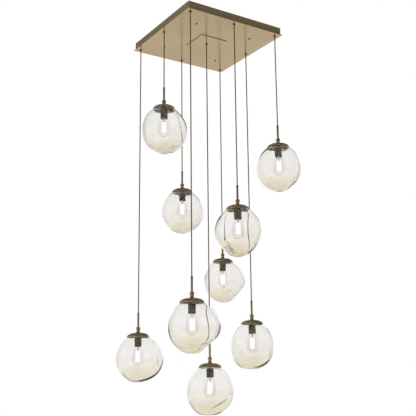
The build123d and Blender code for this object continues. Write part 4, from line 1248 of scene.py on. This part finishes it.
flag("flag_right", 2.6, 2.0, 3.8, -3.0, 1.5, 70)
flag("flag_left", -2.8, 2.6, 2.4, -3.0, 1.5, -70)
flag("flag_front", -0.5, -5.0, 7.0, -4.0, 2.5, 0)
flag("flag_front_right", 4.6, -2.4, 5.0, -4.0, 2.5, 62)
flag("flag_far_left", -4.6, 2.2, 3.0, -2.0, 2.5, -66, grey=0.4)
low_corners = [(x, y, FLOOR + 0.02) for x, y in ((-0.9, 1.2), (1.9, -0.6), (3.6, 2.2), (0.8, 4.0))]
low_flag = sheet_of_stage("flag_low", low_corners, (0.7, 0.7, 0.7, 1))
high_flag = sheet_of_stage("flag_above", square(ROOM, ABOVE), (0.04, 0.04, 0.04, 1))
hide_but_in_reflections(low_flag)
hide_but_in_reflections(high_flag)
print("stage floor at", round(FLOOR, 3), "m")

# %% World and lamps
world = bpy.data.worlds.new("white_surround")
bpy.context.scene.world = world
world.use_nodes = True
tree = world.node_tree
paths = tree.nodes.new("ShaderNodeLightPath").outputs
seen = maths(tree, "MAXIMUM", paths["Is Camera Ray"],
             maths(tree, "MAXIMUM", paths["Is Glossy Ray"], paths["Is Transmission Ray"]))
background = next(n for n in tree.nodes if n.type == "BACKGROUND")
link(tree, blend_colours(tree, seen, (0.42, 0.42, 0.42, 1), (1, 1, 1, 1)), background.inputs["Color"])


def softbox(name, place, target, width, height, power):
    """An area lamp that looks at a target."""
    data = bpy.data.lights.new(name, "AREA")
    data.shape = "RECTANGLE"
    data.size, data.size_y, data.energy = width, height, power
    made = bpy.data.objects.new(name, data)
    made.location = place
    made.rotation_euler = (Vector(target) - Vector(place)).to_track_quat("-Z", "Y").to_euler()
    made.visible_glossy = False
    made.visible_transmission = False
    bpy.context.collection.objects.link(made)


softbox("key_left", (-3.4, -0.6, -0.9), (0, 0, -0.8), 1.2, 2.4, 62)
softbox("fill_right", (2.6, 0.4, -1.2), (0, 0, -0.8), 1.0, 2.0, 22)
softbox("from_below", (-0.6, -0.9, FLOOR + 0.15), (0, 0, 0), 1.8, 1.8, 16)
softbox("from_above", (-0.4, -0.8, 1.6), (0, 0, -0.8), 1.6, 1.6, 14)
bpy.context.scene.view_settings.view_transform = "Standard"
print("lamps:", [lamp.name for lamp in bpy.data.lights])
